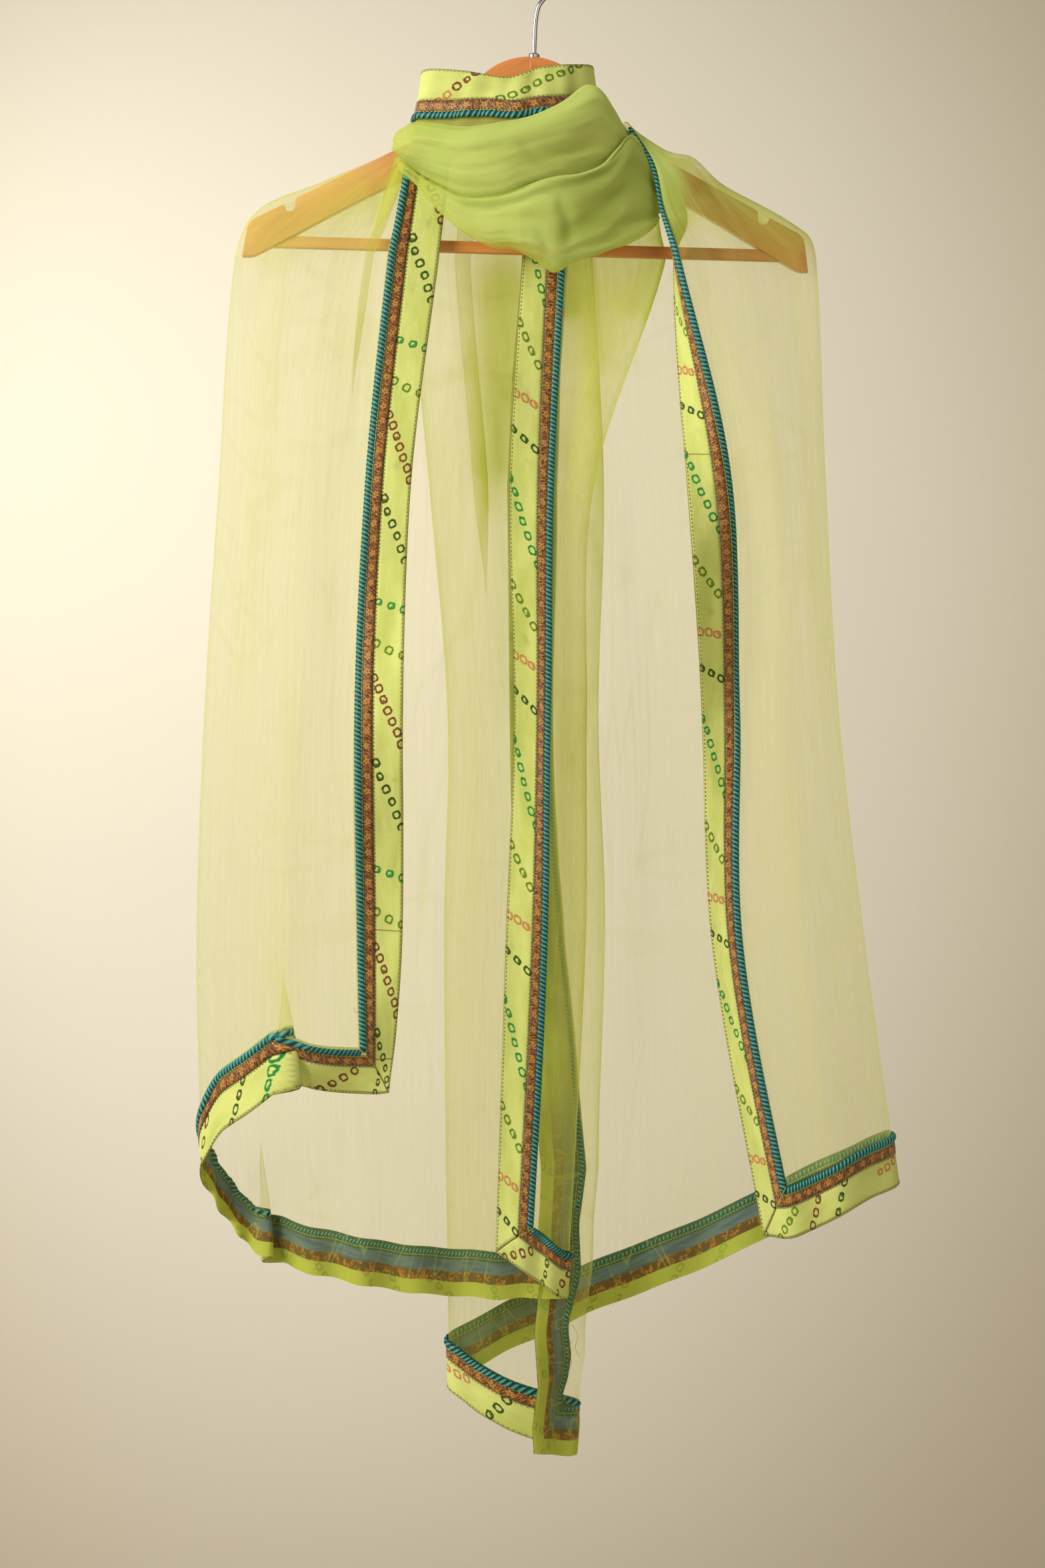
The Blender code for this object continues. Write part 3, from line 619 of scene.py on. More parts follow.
def curveWeights(knots, t):  # how much of each knot's value a smooth curve has at t
    knots = np.asarray(knots, float)
    last = len(knots) - 1
    t = np.clip(t, knots[0], knots[-1])
    i = np.clip(np.searchsorted(knots, t, side="right") - 1, 0, last - 1)
    step = knots[i + 1] - knots[i]
    s = (t - knots[i]) / step
    rows = np.arange(len(t))
    out = np.zeros((len(t), last + 1))
    np.add.at(out, (rows, i), 2 * s**3 - 3 * s**2 + 1)
    np.add.at(out, (rows, i + 1), 3 * s**2 - 2 * s**3)
    for k, share in ((i, (s**3 - 2 * s**2 + s) * step), (i + 1, (s**3 - s**2) * step)):
        low, high = np.maximum(k - 1, 0), np.minimum(k + 1, last)
        span = share / (knots[high] - knots[low])
        np.add.at(out, (rows, high), span)
        np.add.at(out, (rows, low), -span)
    return out


def lineDistance(point, line):  # from the front: how far from a line, and the share of the way along it
    line = np.array(line, float)
    x, z = point[:, 0], point[:, 2]
    best = np.full(len(x), 1e9)
    way = np.zeros(len(x))
    for k, (a, b) in enumerate(zip(line, line[1:])):
        run = b - a
        s = np.clip(((x - a[0]) * run[0] + (z - a[1]) * run[1]) / (run @ run), 0, 1)
        d = np.hypot(x - a[0] - run[0] * s, z - a[1] - run[1] * s)
        near = d < best
        best = np.where(near, d, best)
        way = np.where(near, (k + s) / (len(line) - 1), way)
    return best, way


def readRails(end):
    levels = (-780, -600, -420, -245)
    end["points"] = []
    for *_, hemZ, across, depths, path in end["rails"]:
        z = (hemZ, *levels)
        y = np.interp(z, (hemZ, -600, -245), depths)
        line = np.column_stack([across, y, z])
        arm, top = line[-1], np.array(path[-1], float)
        if len(path) == 1:
            path = (arm + (top - arm) / 3, arm + (top - arm) * 2 / 3, top)
        end["points"].append(np.vstack([line, path]))
    end["widths"] = [row[1] for row in end["rails"]]
    end["knots"] = [runsAlong(line) for line in end["points"]]
    end["places"] = np.array([(0, border["deep"], *knots[1:]) for knots in end["knots"]])


def reachUp(end, width):  # the length of cloth from the hem to the neck
    return curveWeights(end["widths"], np.asarray(width, float)) @ end["places"][:, -1]


def smoothFall(end, width, up):  # where a place on the plain, uncreased cloth hangs
    across = curveWeights(end["widths"], width)
    places = across @ end["places"]
    rise = np.clip((up[:, None] - places[:, :-1]) / np.diff(places, axis=1), 0, 1).sum(axis=1)
    out = np.zeros((len(width), 3))
    for k, (points, knots) in enumerate(zip(end["points"], end["knots"])):
        used = np.abs(across[:, k]) > 1e-9
        if used.any():
            place = np.interp(rise[used], range(9), end["places"][k])
            out[used] += across[used, k : k + 1] * (curveWeights(knots, place) @ points)
    return out


def shapeFall(end, width, up):  # the same with its pleats, hem ripple and creases, and how bunched it is
    width = np.clip(np.asarray(width, float), 0, clothWidth)
    up = np.asarray(up, float)
    point = smoothFall(end, width, up)
    layers = np.ones(len(width))
    for at, reach, over, lift, (low, full, hold, gone) in end["pleats"]:
        strength = smoothStep(up, low, full) * (1 - smoothStep(up, hold, gone))
        s = np.clip((width - following(up, at)) / reach, -1, 1)
        fade = (1 - s * s) * strength
        point[:, 0] -= over * np.sin(pi * s) * fade
        point[:, 1] += lift * s * fade * 2.6
    for x, z, wide, tall, high in end["bumps"]:
        point[:, 2] += high * bell(point[:, 0] - x, wide) * bell(point[:, 2] - z, tall)
    for at, high, long, gone in end["peaks"]:
        point[:, 2] += high * np.exp(-np.abs(width - at) / long) * (1 - smoothStep(up, 40, gone))
    low = np.minimum(up, 42) * (1 - smoothStep(up, 42, 300))
    point[:, 2] += following(width, end["slant"]) * low
    swing = (20 - np.minimum(up, 40)) * (1 - smoothStep(up, 40, 200))
    point[:, 1] += following(width, end["tilt"]) * swing
    for start, stop, length, deep, drop, gone, phase in end["ripples"]:
        fade = smoothStep(width, start, start + 40) * (1 - smoothStep(width, stop - 40, stop))
        fade = fade * np.exp(-up / gone)
        turn = 2 * pi * width / length
        point[:, 1] += deep * np.sin(turn + phase + 1.3 * np.sin(width / 61 + phase)) * fade
        point[:, 2] += drop * np.cos(turn * 1.31 + phase) * fade
    for (first, last), rows in end["creases"]:
        inside = smoothStep(width, first - 8, first) * (1 - smoothStep(width, last, last + 8))
        for deep, half, dense, line in rows:
            distance, way = lineDistance(point, line)
            fade = bell(distance, half) * np.minimum(1, 6 * np.minimum(way + 0.05, 1.05 - way))
            point[:, 1] += deep * fade * inside
            layers = layers + dense * fade * inside
    for at, half, dense in end["folds"]:
        layers = layers + dense * bell(width - at, half)
    for level, tilts in end["twists"]:  # the borders turn a little to and fro
        inset = np.abs(width - level)
        point[:, 1] += following(up, tilts) * (inset - 20) * (1 - smoothStep(inset, 40, 85))
    for level, hold, gone, shifts in end["drift"]:
        near = 1 - smoothStep(np.abs(width - level), hold, gone)
        point[:, 0] += following(point[:, 2], shifts) * near
    return point, layers


def slope(area, width, up, across, along):
    return area["shape"](width + across, up + along)[0] - area["shape"](width - across, up - along)[0]


def outward(area, width, up):
    normal = np.cross(slope(area, width, up, probe, 0), slope(area, width, up, 0, probe))
    return unit(normal * area["face"])


def gridMesh(name, columns, rows, shape, flip=False):
    grid = bmesh.new()
    grid.loops.layers.uv.new("cloth")
    bmesh.ops.create_grid(grid, x_segments=columns, y_segments=rows, size=0.5)
    mesh = meshFrom(grid, name)
    places = np.empty(len(mesh.vertices) * 3, np.float32)
    mesh.vertices.foreach_get("co", places)
    shares = places.reshape(-1, 3).astype(float)[:, :2] + 0.5
    points, uv, layers = shape(shares[:, 0], shares[:, 1])
    mesh.vertices.foreach_set("co", (points * mm).astype(np.float32).ravel())
    corner = np.empty(len(mesh.loops), np.int32)
    mesh.loops.foreach_get("vertex_index", corner)
    uv = np.stack(uv, axis=1)[corner].astype(np.float32)
    mesh.uv_layers["cloth"].data.foreach_set("uv", uv.ravel())
    if layers is not None:
        dense = mesh.attributes.new("layers", "FLOAT", "POINT").data
        dense.foreach_set("value", layers.astype(np.float32))
    if flip:
        mesh.flip_normals()
    mesh.update()
    return mesh


def pieceFrom(name, meshes, look, thick=0, smooth=True, capped=False):
    mesh = meshes[0]
    if len(meshes) > 1 or capped:
        joined = bmesh.new()
        for part in meshes:
            joined.from_mesh(part)
        if capped:
            bmesh.ops.remove_doubles(joined, verts=joined.verts[:], dist=1e-6)
            rims = [edge for edge in joined.edges if edge.is_boundary]
            bmesh.ops.holes_fill(joined, edges=rims, sides=0)
        mesh = meshFrom(joined, name)
    mesh.materials.clear()
    mesh.materials.append(materials[look])
    if smooth:
        mesh.shade_smooth()
    piece = addObject(name, mesh)
    if thick:
        wall = piece.modifiers.new("wall", "SOLIDIFY")
        wall.thickness = thick * mm
        wall.offset = 1
    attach(piece, "root")
    return piece


def organzaPiece(name, columns, rows, shape, flip=False):
    return pieceFrom(name, [gridMesh(name, columns, rows, shape, flip)], "organza")


def patch(area, side, low, high, sx, sy, span):
    # a place on a border strip, as its place across and up the cloth and its own inset and run
    gap = border["mitre"]
    if side == "hem":
        up = low + (high - low) * sy
        width = (up + gap) + (clothWidth - 2 * (up + gap)) * sx
        return width, up, up, width
    width = (low if side == "near" else clothWidth - high) + (high - low) * sx
    inset = width if side == "near" else clothWidth - width
    foot, top = span or (inset + gap, reachUp(area, width) - 1)
    up = foot + (top - foot) * sy
    return width, up, inset, up


def stripMesh(name, area, side, span, rows, low, high, out, columns, crown=0):
    def shape(sx, sy):
        width, up, inset, run = patch(area, side, low, high, sx, sy, span)
        lift = out + crown * (1 - (2 * (sy if side == "hem" else sx) - 1) ** 2)
        point = area["shape"](width, up)[0] + outward(area, width, up) * lift[:, None]
        return point, ((inset - (low if crown else 0)) * mm, run * mm), None

    if side == "hem":
        columns, rows = rows, columns
    return gridMesh(name, columns, rows, shape, area["face"] < 0)


def ropeMesh(name, area, side, span):
    low, high = border["piping"]
    middle = (low + high) / 2
    line = clothWidth - middle if side == "far" else middle
    if side == "hem":
        start, stop = high - 0.6, clothWidth - high + 0.6
    else:
        start, stop = span or (middle + 0.3, reachUp(area, [line])[0] - 1.5)
    rows = int((stop - start) / piping["pitch"] * 4)
    wide, tall = border["pipingSize"]

    def shape(sx, sy):
        run = start + (stop - start) * sy
        fixed = np.full(len(sx), line)
        width, up = (run, fixed) if side == "hem" else (fixed, run)
        face = outward(area, width, up)
        centre = area["shape"](width, up)[0] + face * border["pipingOut"]
        along = slope(area, width, up, probe, 0) if side == "hem" else slope(area, width, up, 0, probe)
        cross = np.cross(unit(along), face)
        turn = 2 * pi * sx
        ridge = 1 + 0.09 * np.cos(2 * pi * run / piping["pitch"] - 2 * turn)
        ends = np.clip(np.minimum(sy, 1 - sy) * rows / 3, 0, 1)
        ridge = (ridge * (0.35 + 0.65 * np.sqrt(ends)))[:, None]
        turn = turn[:, None]
        point = centre + cross * wide * ridge * np.cos(turn) + face * tall * ridge * np.sin(turn)
        return point, (sx, run * mm), None

    return gridMesh(name, 10, rows, shape)


def stitchMesh(name, area, route, out, pitch, long, wide):  # stitches along a route across and up the cloth
    route = np.array(route, float)
    steps = runsAlong(route)

    def under(run):
        return [np.interp(run, steps, route[:, k]) for k in (0, 1)]

    run = np.arange(pitch / 2, steps[-1], pitch)
    face = outward(area, *under(run))
    point = area["shape"](*under(run))[0] + face * out
    ahead = unit(area["shape"](*under(run + 0.6))[0] - area["shape"](*under(run - 0.6))[0])
    cross = np.cross(ahead, face)
    sizes = ((ahead, long * mm), (cross, wide * mm), (face, border["stitchThick"] * mm))
    stitches = bmesh.new()
    for k, place in enumerate(point * mm):
        rows = [[*(axis[k] * size), 0] for axis, size in sizes]
        bmesh.ops.create_cube(stitches, size=1, matrix=Matrix([*rows, [*place, 1]]).transposed())
    return meshFrom(stitches, name)


def threadMesh(name, route, thick=0.16):  # a loose thread along a smooth curve in the room
    route = np.array(route, float)
    steps = runsAlong(route)

    def along(place):
        return curveWeights(steps, place) @ route

    def shape(sx, sy):
        place = steps[-1] * sy
        ahead = unit(along(place + 0.3) - along(place - 0.3))
        side = unit(np.cross(ahead, (0.3, 0.8, 0.52)))
        turn = (2 * pi * sx)[:, None]
        ring = side * np.cos(turn) + np.cross(ahead, side) * np.sin(turn)
        return along(place) + ring * thick, (sx, place * mm), None

    return gridMesh(name, 6, int(steps[-1] * 1.5) + 4, shape)


def besideEdge(area, inset):  # the three routes round a piece of cloth, all as far in from its edge
    far = clothWidth - inset
    return (
        ((inset, inset + 1), (inset, reachUp(area, [inset])[0] - 3)),
        ((far, inset + 1), (far, reachUp(area, [far])[0] - 3)),
        ((inset + 1, inset), (far - 1, inset)),
    )


def buildTrim(name, area, runs, looks, dark, lime, spans=(None, None), under=border["Underside"]):
    # the border sewn on a stretch of cloth: its wrong side, print, ribbon, rope and stitches

    def strips(kind, sides, band):
        return [stripMesh(name + kind, area, side, spans[0], runs[side], *band) for side in sides]

    def sewn(kind, look, lines):
        meshes = [stitchMesh(name, area, route, *border[line]) for line, routes in lines for route in routes]
        return pieceFrom(name + kind, meshes, look, smooth=False)

    pieces = {"under": pieceFrom(name + "Underside", strips("Underside", runs, under), "underside")}
    for side, look in looks.items():
        label = "Print" + (side.capitalize() if len(looks) > 1 else "")
        printed = strips("Print", [side], border["Print"])
        pieces[side] = pieceFrom(name + label, printed, look, border["thick"]["Print"])
    ribbon = strips("Ribbon", runs, border["Ribbon"])
    pieces["ribbon"] = pieceFrom(name + "Ribbon", ribbon, "ribbon", border["thick"]["Ribbon"])
    rope = [ropeMesh(name + "Piping", area, side, spans[1]) for side in runs]
    pieces["piping"] = pieceFrom(name + "Piping", rope, "piping", capped=True)
    pieces["dark"] = sewn("DarkStitches", "darkThread", dark)
    pieces["lime"] = sewn("LimeStitches", "limeThread", lime)
    return pieces


firstEnd = {
    "face": -1,
    # where the hem comes to a point: place across, height, how far it runs out, and up to where
    "peaks": ((98, 16, 26, 260),),
    # raised over the shoulder: x, z, how wide and tall, how far
    "bumps": (),
    # how far the hem is drawn out upwards, and how far it swings back at its foot
    "slant": (
        (0, -0.1), (80, -0.12), (96, 0), (106, 0.2), (190, 0.18), (215, 0), (240, -0.06), (600, -0.06),
        (700, 0),
    ),
    "tilt": (
        (0, 0), (30, 0.3), (60, 0.55), (90, 0.5), (106, 0), (200, -0.05), (300, 0.1), (600, 0.1),
        (700, 0),
    ),
    # where it is folded back: the place across, half width and extra layers
    "folds": ((215, 8, 1.6), (600, 6, 1.5), (98, 10, 0.25)),
    # how far the borders lean at each height, and below how far the cloth has drifted sideways
    "twists": (
        (0, ((40, 0.1), (96, 0.28), (200, 0), (227, -0.05), (331, 0.42), (420, 0.15), (488, 0.2),
         (640, 0))),
        (700, ((40, 0), (148, 0.08), (252, -0.12), (408, -0.45), (520, -0.2), (617, -0.1), (669, 0.1),
         (760, 0))),
    ),
    "drift": (),
    # loose ends, as x, y and z: a knot on the piping of edge B and a thread by the hem
    "loose": (
        ((14, 5, -283), (19, 4, -284.5), (22.5, 4, -286), (24.5, 4.5, -284), (22, 3.5, -282.5),
         (19.5, 4, -285.5), (23, 3.4, -287), (27, 4, -288)),
        ((-139, -40, -826), (-137.5, -42, -829), (-135, -43, -830), (-133.5, -42, -827),
         (-135, -42, -824)),
    ),
    # seams where lengths of the printed band meet
    "joins": (((1, 129), (25, 131)), ((1, 30), (25, 31))),
    # place across, height of the hem, X at five heights, Y at hem, waist and arm, and the way to the neck
    "rails": (
        ("edge A", 0, -893, (-112, -102, -101, -95, -74), (-29, -32, -14), ((-63, -11, -150),)),
        ("border A", 39.5, -895, (-133, -136, -138, -130, -113), (-34, -36, -15), ((-97, -11, -163),)),
        ("front fold", 98, -898, (-188, -193, -190, -178, -158), (-51, -48, -20),
         ((-104, -11, -166),)),
        ("front quarter", 165, -922, (-238, -242, -236, -224, -204), (-26, -30, -17),
         ((-186, -14, -221), (-148, -12, -193), (-98, -11, -164))),
        ("front crest", 198, -947, (-256, -260, -254, -243, -231), (-12, -14, -11), ((-215, -10, -211),
         (-166, -9.5, -190), (-103, -9, -161))),
        ("left side", 215, -961, (-260, -264, -258, -246.5, -233.5), (4, 3, 0), ((-217, 0, -206),
         (-166, 0, -183), (-104, 0, -157))),
        ("back crest", 232, -974, (-256, -260, -254, -243, -231.5), (20, 18, 12), ((-215, 10.5, -210),
         (-166, 9.5, -190), (-103, 9, -161))),
        ("back quarter", 290, -1024, (-222, -232, -228, -216, -200), (40, 34, 16), ((-182, 14, -221),
         (-146, 13, -196), (-99, 12, -160))),
        ("back left", 400, -1050, (-135, -138, -138, -130, -112), (28, 26, 15), ((-68, 14, -151),)),
        ("back centre", 510, -1062, (-46, -42, -40, -30, 4), (42, 38, 19), ((18, 16, -160),)),
        ("fold back", 591, -1062, (20, 35, 36, 41, 97), (35, 32, 17.5), ((88, 14.5, -168),)),
        ("inner fold", 600, -1061, (26, 41, 42, 47, 103), (30, 28, 14), ((93, 12, -170),)),
        ("fold front", 609, -1059, (20, 35, 36, 41, 96), (23, 22, 10.5), ((86, 9.8, -172),)),
        ("border B", 660.5, -1040, (-4, 10, 13, 15, 25), (15, 15, 9.5), ((30, 9.5, -178),)),
        ("edge B", 700, -1022, (-30, -22, -15, -19, -9), (18, 17, 9.5), ((2, 9.5, -180),)),
    ),
    # folded over itself: where at two heights, half width, how far over and out, where it starts and stops
    "pleats": (
        (((500, 60), (840, 56)), 10, -9.5, -2.5, (470, 640, 860, 960)),
        (((0, 98), (200, 100)), 16, -17, -4, (-2, -1, 0, 130)),
        (((0, 306), (200, 300)), 14, 11.5, 4, (-2, -1, 20, 150)),
        (((0, 560), (800, 560)), 14, 6, 3, (200, 360, 480, 640)),
    ),
    # from and to across, wave length, depth, drop, how far up it lasts and phase
    "ripples": (
        (225, 590, 61, 3, 0.8, 90, 0.4),
        (215, 345, 29, 3, 1.4, 70, 2),
        (600, 700, 70, 2.5, 0.8, 260, 1),
        (0, 220, 88, 3, 0.5, 500, 2.4),
    ),
    # by stretch of cloth: depth, half width, extra layers, and the line as x and z
    "creases": (
        ((40, 215), (
            (-3, 9, 0.4, ((-191, -845), (-193, -796), (-190, -734), (-184, -640), (-180, -560))),
            (2.5, 5, 0.5, ((-219, -291), (-212, -270), (-204, -247))),
            (0, 22, 3, ((-124, -182), (-170, -208), (-228, -238))),
            (1.5, 5, 0.5, ((-117, -168), (-122, -213), (-127, -260), (-128, -301), (-128, -374),
             (-132, -440))),
            (-1.5, 3, 0.8, ((-223, -244), (-205, -250), (-186, -255), (-160, -257))),
            (2, 12, 0.5, ((-142, -205), (-154, -300), (-162, -420), (-170, -560))),
            (-2, 9, 0.4, ((-190, -250), (-205, -330), (-218, -470), (-225, -650))),
            (2, 12, 0.35, ((-126, -260), (-150, -420), (-150, -600), (-160, -760))),
        )),
        ((215, 600), (
            (-3, 7, 0.8, ((93, -240), (81, -261), (71, -276), (67, -307))),
            (3, 6, 1, ((-16, -318), (-54, -328), (-86, -339))),
            (3, 5, 0.8, ((-81, -276), (-47, -279), (-12, -277))),
            (2.5, 9, 0.5, ((-95, -350), (-70, -420), (-62, -520), (-80, -640))),
            (-3, 12, 0.3, ((-120, -520), (-90, -700), (-70, -860))),
            (3, 14, 0.3, ((-185, -560), (-180, -760), (-200, -900))),
            (0, 26, 4.5, ((110, -215), (92, -250), (74, -290))),
            (-2, 3.5, 0.7, ((-52, -522), (-72, -552), (-96, -586))),
            (2, 4, 0.6, ((-66, -620), (-84, -700), (-92, -800))),
        )),
        ((600, 700), (
            (0, 17, 0.7, ((30, -570), (33, -640), (34, -780), (33, -860), (28, -960))),
            (0, 9, 0.7, ((40, -520), (44, -700), (42, -860), (38, -960))),
            (3, 8, 0.4, ((34, -250), (36, -330), (26, -430), (22, -560), (26, -760))),
            (0, 22, 0.7, ((56, -240), (50, -330), (34, -440))),
        )),
    ),
}

secondEnd = {
    "face": 1,
    "peaks": (),
    "bumps": ((122, -176, 17, 15, 9),),
    "slant": ((0, 0), (700, 0)),
    "tilt": ((0, 0), (60, 0.1), (150, 0), (700, 0)),
    "folds": ((168, 8, 1.7), (548, 7, 1.8), (643, 5, 1.5), (92, 9, 0.25)),
    "twists": (
        (0, ((40, 0.05), (100, 0.1), (338, 0.2), (400, 0.4), (450, 0.9), (530, 1), (590, 0.5),
         (640, 0.1), (700, 0), (780, 0))),
        (700, ((10, 0.4), (60, 0.75), (110, 0.2), (150, 0.5), (200, -0.1), (250, 0.25), (320, -0.2),
         (400, 0.15), (500, 0))),
    ),
    "drift": (
        (700, 44, 60, ((-1190, 1), (-1165, -1), (-1130, 3), (-1090, -1), (-1050, 2), (-1010, 0),
         (-960, 1), (-900, -5), (-840, -12), (-780, -20), (-720, -24), (-660, -25), (-600, -25),
         (-541, -25), (-500, -25), (-420, -25), (-330, -19), (-240, -9))),
        (660, 4, 34, ((-1190, -7), (-1165, -5), (-1140, -9), (-1110, -3), (-1080, -5), (-1040, 1),
         (-1000, -1), (-960, 2), (-900, 0), (-240, 0))),
    ),
    "loose": (
        ((31, 44, -1084), (35, 42, -1092), (33, 41, -1101), (37, 40, -1109)),
        ((30, 44, -1096), (27, 42, -1104), (30, 41, -1112), (27, 40, -1121)),
    ),
    "joins": (((1, 610), (25, 611)), ((699, 420), (675, 421))),
    "rails": (
        ("edge C", 0, -1004, (178, 138, 129, 118, 110), (-24, -28, -10), ((120, -11, -216),
         (112, -11, -186), (88, -8, -152))),
        ("border C", 39.5, -1004, (202, 161, 158, 152, 112), (-32, -37, -36), ((101, -28, -208),
         (93, -23, -172), (74, -20, -141))),
        ("front fold", 92, -988, (236, 205, 196, 187, 154), (-34, -40, -30), ((132, -28, -213),
         (108, -25, -178), (72, -17, -139))),
        ("front quarter", 128, -975, (262, 240, 220, 210, 192), (-18, -22, -17), ((174, -15, -222),
         (130, -15, -182), (70, -10, -138))),
        ("front crest", 154, -969, (280, 255, 235, 225, 218), (-9, -12, -11), ((208, -10, -229),
         (138, -10, -184), (70, -4, -138))),
        ("right side", 168, -966, (285, 259.5, 239, 228.5, 220.5), (4, 3, 0), ((213, 0, -223),
         (138, 0, -180), (70, 3, -138))),
        ("back crest", 182, -967, (281, 256, 236, 226, 218), (17, 16, 11), ((208, 10, -229),
         (138, 10, -184), (70, 9, -140))),
        ("back quarter", 240, -993, (232, 222, 206, 196, 184), (54, 46, 20), ((168, 16, -222),
         (130, 16, -188), (76, 14, -150))),
        ("back right", 340, -1043, (135, 130, 122, 112, 98), (76, 64, 36), ((76, 28, -162),)),
        ("back centre", 440, -1084, (38, 38, 36, 28, 10), (90, 78, 44), ((0, 37.5, -166),)),
        ("fold back", 539, -1132, (-62, -66, -63, -77, -92), (78, 69, 39), ((-73, 28, -152),)),
        ("outer fold", 548, -1137, (-68, -72, -69, -83, -98), (73, 64, 35.5), ((-80, 24, -151),)),
        ("fold front", 557, -1143, (-62, -66, -63, -77, -91), (67, 59, 32), ((-73, 19.5, -154),)),
        ("centre", 600, -1168, (-24, -24, -22, -28, -42), (62, 55, 31), ((-38, 24, -168),)),
        ("last centre", 634, -1187, (33, 51, 46, 50, 41), (59, 53, 30.5), ((34, 24.5, -170),)),
        ("last fold", 643, -1190, (39, 57, 52, 56, 47), (54, 48, 27), ((40, 22, -172),)),
        ("last front", 652, -1190, (34, 51, 46, 50, 41), (48, 43, 23.5), ((34, 19.5, -174),)),
        ("edge D", 700, -1185, (0, 8, 6, 4, 0), (46, 41, 23), ((-4, 19.5, -178),)),
    ),
    "pleats": ((((600, 590), (1000, 590)), 26, 22, 5, (560, 760, 960, 1060)),),
    "ripples": (
        (178, 540, 83, 3.5, 1, 90, 0.9),
        (550, 700, 57, 1.5, 0.7, 120, 2.6),
        (0, 170, 74, 2.5, 0.4, 500, 0.2),
    ),
    "creases": (
        ((40, 150), ((0, 13, 2.6, ((78, -146), (104, -180), (112, -205), (112, -222))),)),
        ((40, 168), ((0, 22, 3.2, ((130, -184), (170, -208), (216, -240))),)),
        ((60, 160), ((1.5, 2.5, 1.4, ((113, -167), (118, -164), (123, -168), (120, -173),
         (115, -171))),)),
        ((40, 168), (
            (2, 3, 0.6, ((128, -176), (150, -212), (164, -234))),
            (3, 10, 0.5, ((120, -215), (138, -300), (152, -400), (160, -520), (168, -680))),
            (-2, 8, 0.4, ((150, -225), (172, -290), (186, -370), (190, -470))),
            (2, 9, 0.4, ((200, -245), (206, -330), (214, -450), (226, -600))),
            (-3, 14, 0.3, ((172, -520), (200, -700), (226, -880))),
        )),
        ((168, 548), (
            (3, 12, 0.35, ((40, -330), (70, -480), (90, -700), (80, -900))),
            (-3, 10, 0.35, ((120, -280), (110, -420), (118, -620))),
            (3, 14, 0.35, ((-40, -300), (-48, -520), (-42, -800))),
            (0, 24, 3, ((-30, -225), (-28, -300), (-30, -380))),
            (0, 20, 3.2, ((66, -215), (54, -270), (50, -330))),
            # painted shade: this flat band of extra layers darkens the cloth under the swag, right of border
            # B
            (0, 14, 6, ((30, -225), (30, -255), (28, -285))),
        )),
        ((548, 643), (
            (3, 7, 0.8, ((67, -311), (49, -339), (59, -376), (44, -460), (44, -508))),
            (3, 7, 0.9, ((-49, -239), (-38, -266), (-42, -298), (-55, -329), (-84, -338))),
            (0, 20, 6, ((-24, -230), (-22, -300), (-24, -360), (-28, -420))),
            (0, 14, 1.8, ((-28, -390), (-26, -480), (-22, -600))),
            (2, 4, 1.3, ((-16, -332), (-29, -374), (-38, -426), (-46, -484), (-54, -541))),
            (2, 12, 0.35, ((-70, -360), (-60, -500), (-50, -640), (-56, -840))),
            (-2, 8, 0.35, ((20, -560), (14, -700), (26, -900), (22, -1060))),
        )),
        ((643, 700), ((2.5, 8, 0.4, ((40, -420), (34, -620), (30, -900), (26, -1100))),)),
    ),
}


def buildEnd(name, area, panels, rows, firstLook, hemLook):
    readRails(area)
    area["shape"] = lambda width, up: shapeFall(area, width, up)

    def shape(sx, sy):
        width = clothWidth * sx
        up = reachUp(area, width) * sy
        point, layers = area["shape"](width, up)
        spread = smoothFall(area, width + 3, up) - smoothFall(area, width - 3, up)
        spread = np.linalg.norm(spread, axis=1) / 6  # cloth drawn together is denser
        return point, (width * mm, up * mm), layers / np.clip(spread, 0.22, 1.2)

    sheet = organzaPiece(name + "Sheet", 210, rows, shape, area["face"] < 0)
    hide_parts(*panels)
    far = clothWidth
    corners = (((1, 1), (25, 25)), ((far - 1, 1), (far - 25, 25)))
    dark = (
        ("edge", besideEdge(area, 1.5)),
        ("inner", besideEdge(area, 24)),
        ("join", (*corners, *area["joins"])),
    )
    lime = (
        ("rope", besideEdge(area, 33.9)),
        ("ribbonMitre", (((25, 25), (34, 34)), ((far - 25, 25), (far - 34, 34)))),
        ("ropeMitre", (((34, 34), (40, 40)), ((far - 34, 34), (far - 40, 40)))),
    )
    runs = {"near": rows + 60, "far": rows + 60, "hem": 260}
    looks = {"near": firstLook, "far": "printRight", "hem": hemLook}
    pieces = buildTrim(name, area, runs, looks, dark, lime)
    loose = [threadMesh(name, route) for route in area["loose"]]
    pieces["loose"] = pieceFrom(name + "LooseThreads", loose, "redThread")
    for kind in ("ribbon", "piping"):
        names = [f"{panel}_{part}_{kind}" for panel in panels for part in ("hem", "edge")]
        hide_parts(*[n for n in names if n in nodes])
    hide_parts(*[f"{panel}_hem_print" for panel in panels])
    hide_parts(f"{panels[0]}_edge_print")
    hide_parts(f"{panels[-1]}_edge_print")
    return sheet, list(pieces.values())


leftPanels = ("front_left_panel", "back_left_panel", "centre_flap")
firstSheet, firstPieces = buildEnd("firstEnd", firstEnd, leftPanels, 150, "printLeft", "printHem")
print("first end made")
rightPanels = ("front_right_panel", "back_right_panel", "centre_panel", "last_flap")
secondSheet, secondPieces = buildEnd("secondEnd", secondEnd, rightPanels, 180, "printRight", "printHemRight")
print("second end made")


def awayFromNeck(plan):
    return unit(plan - (-8, 10))


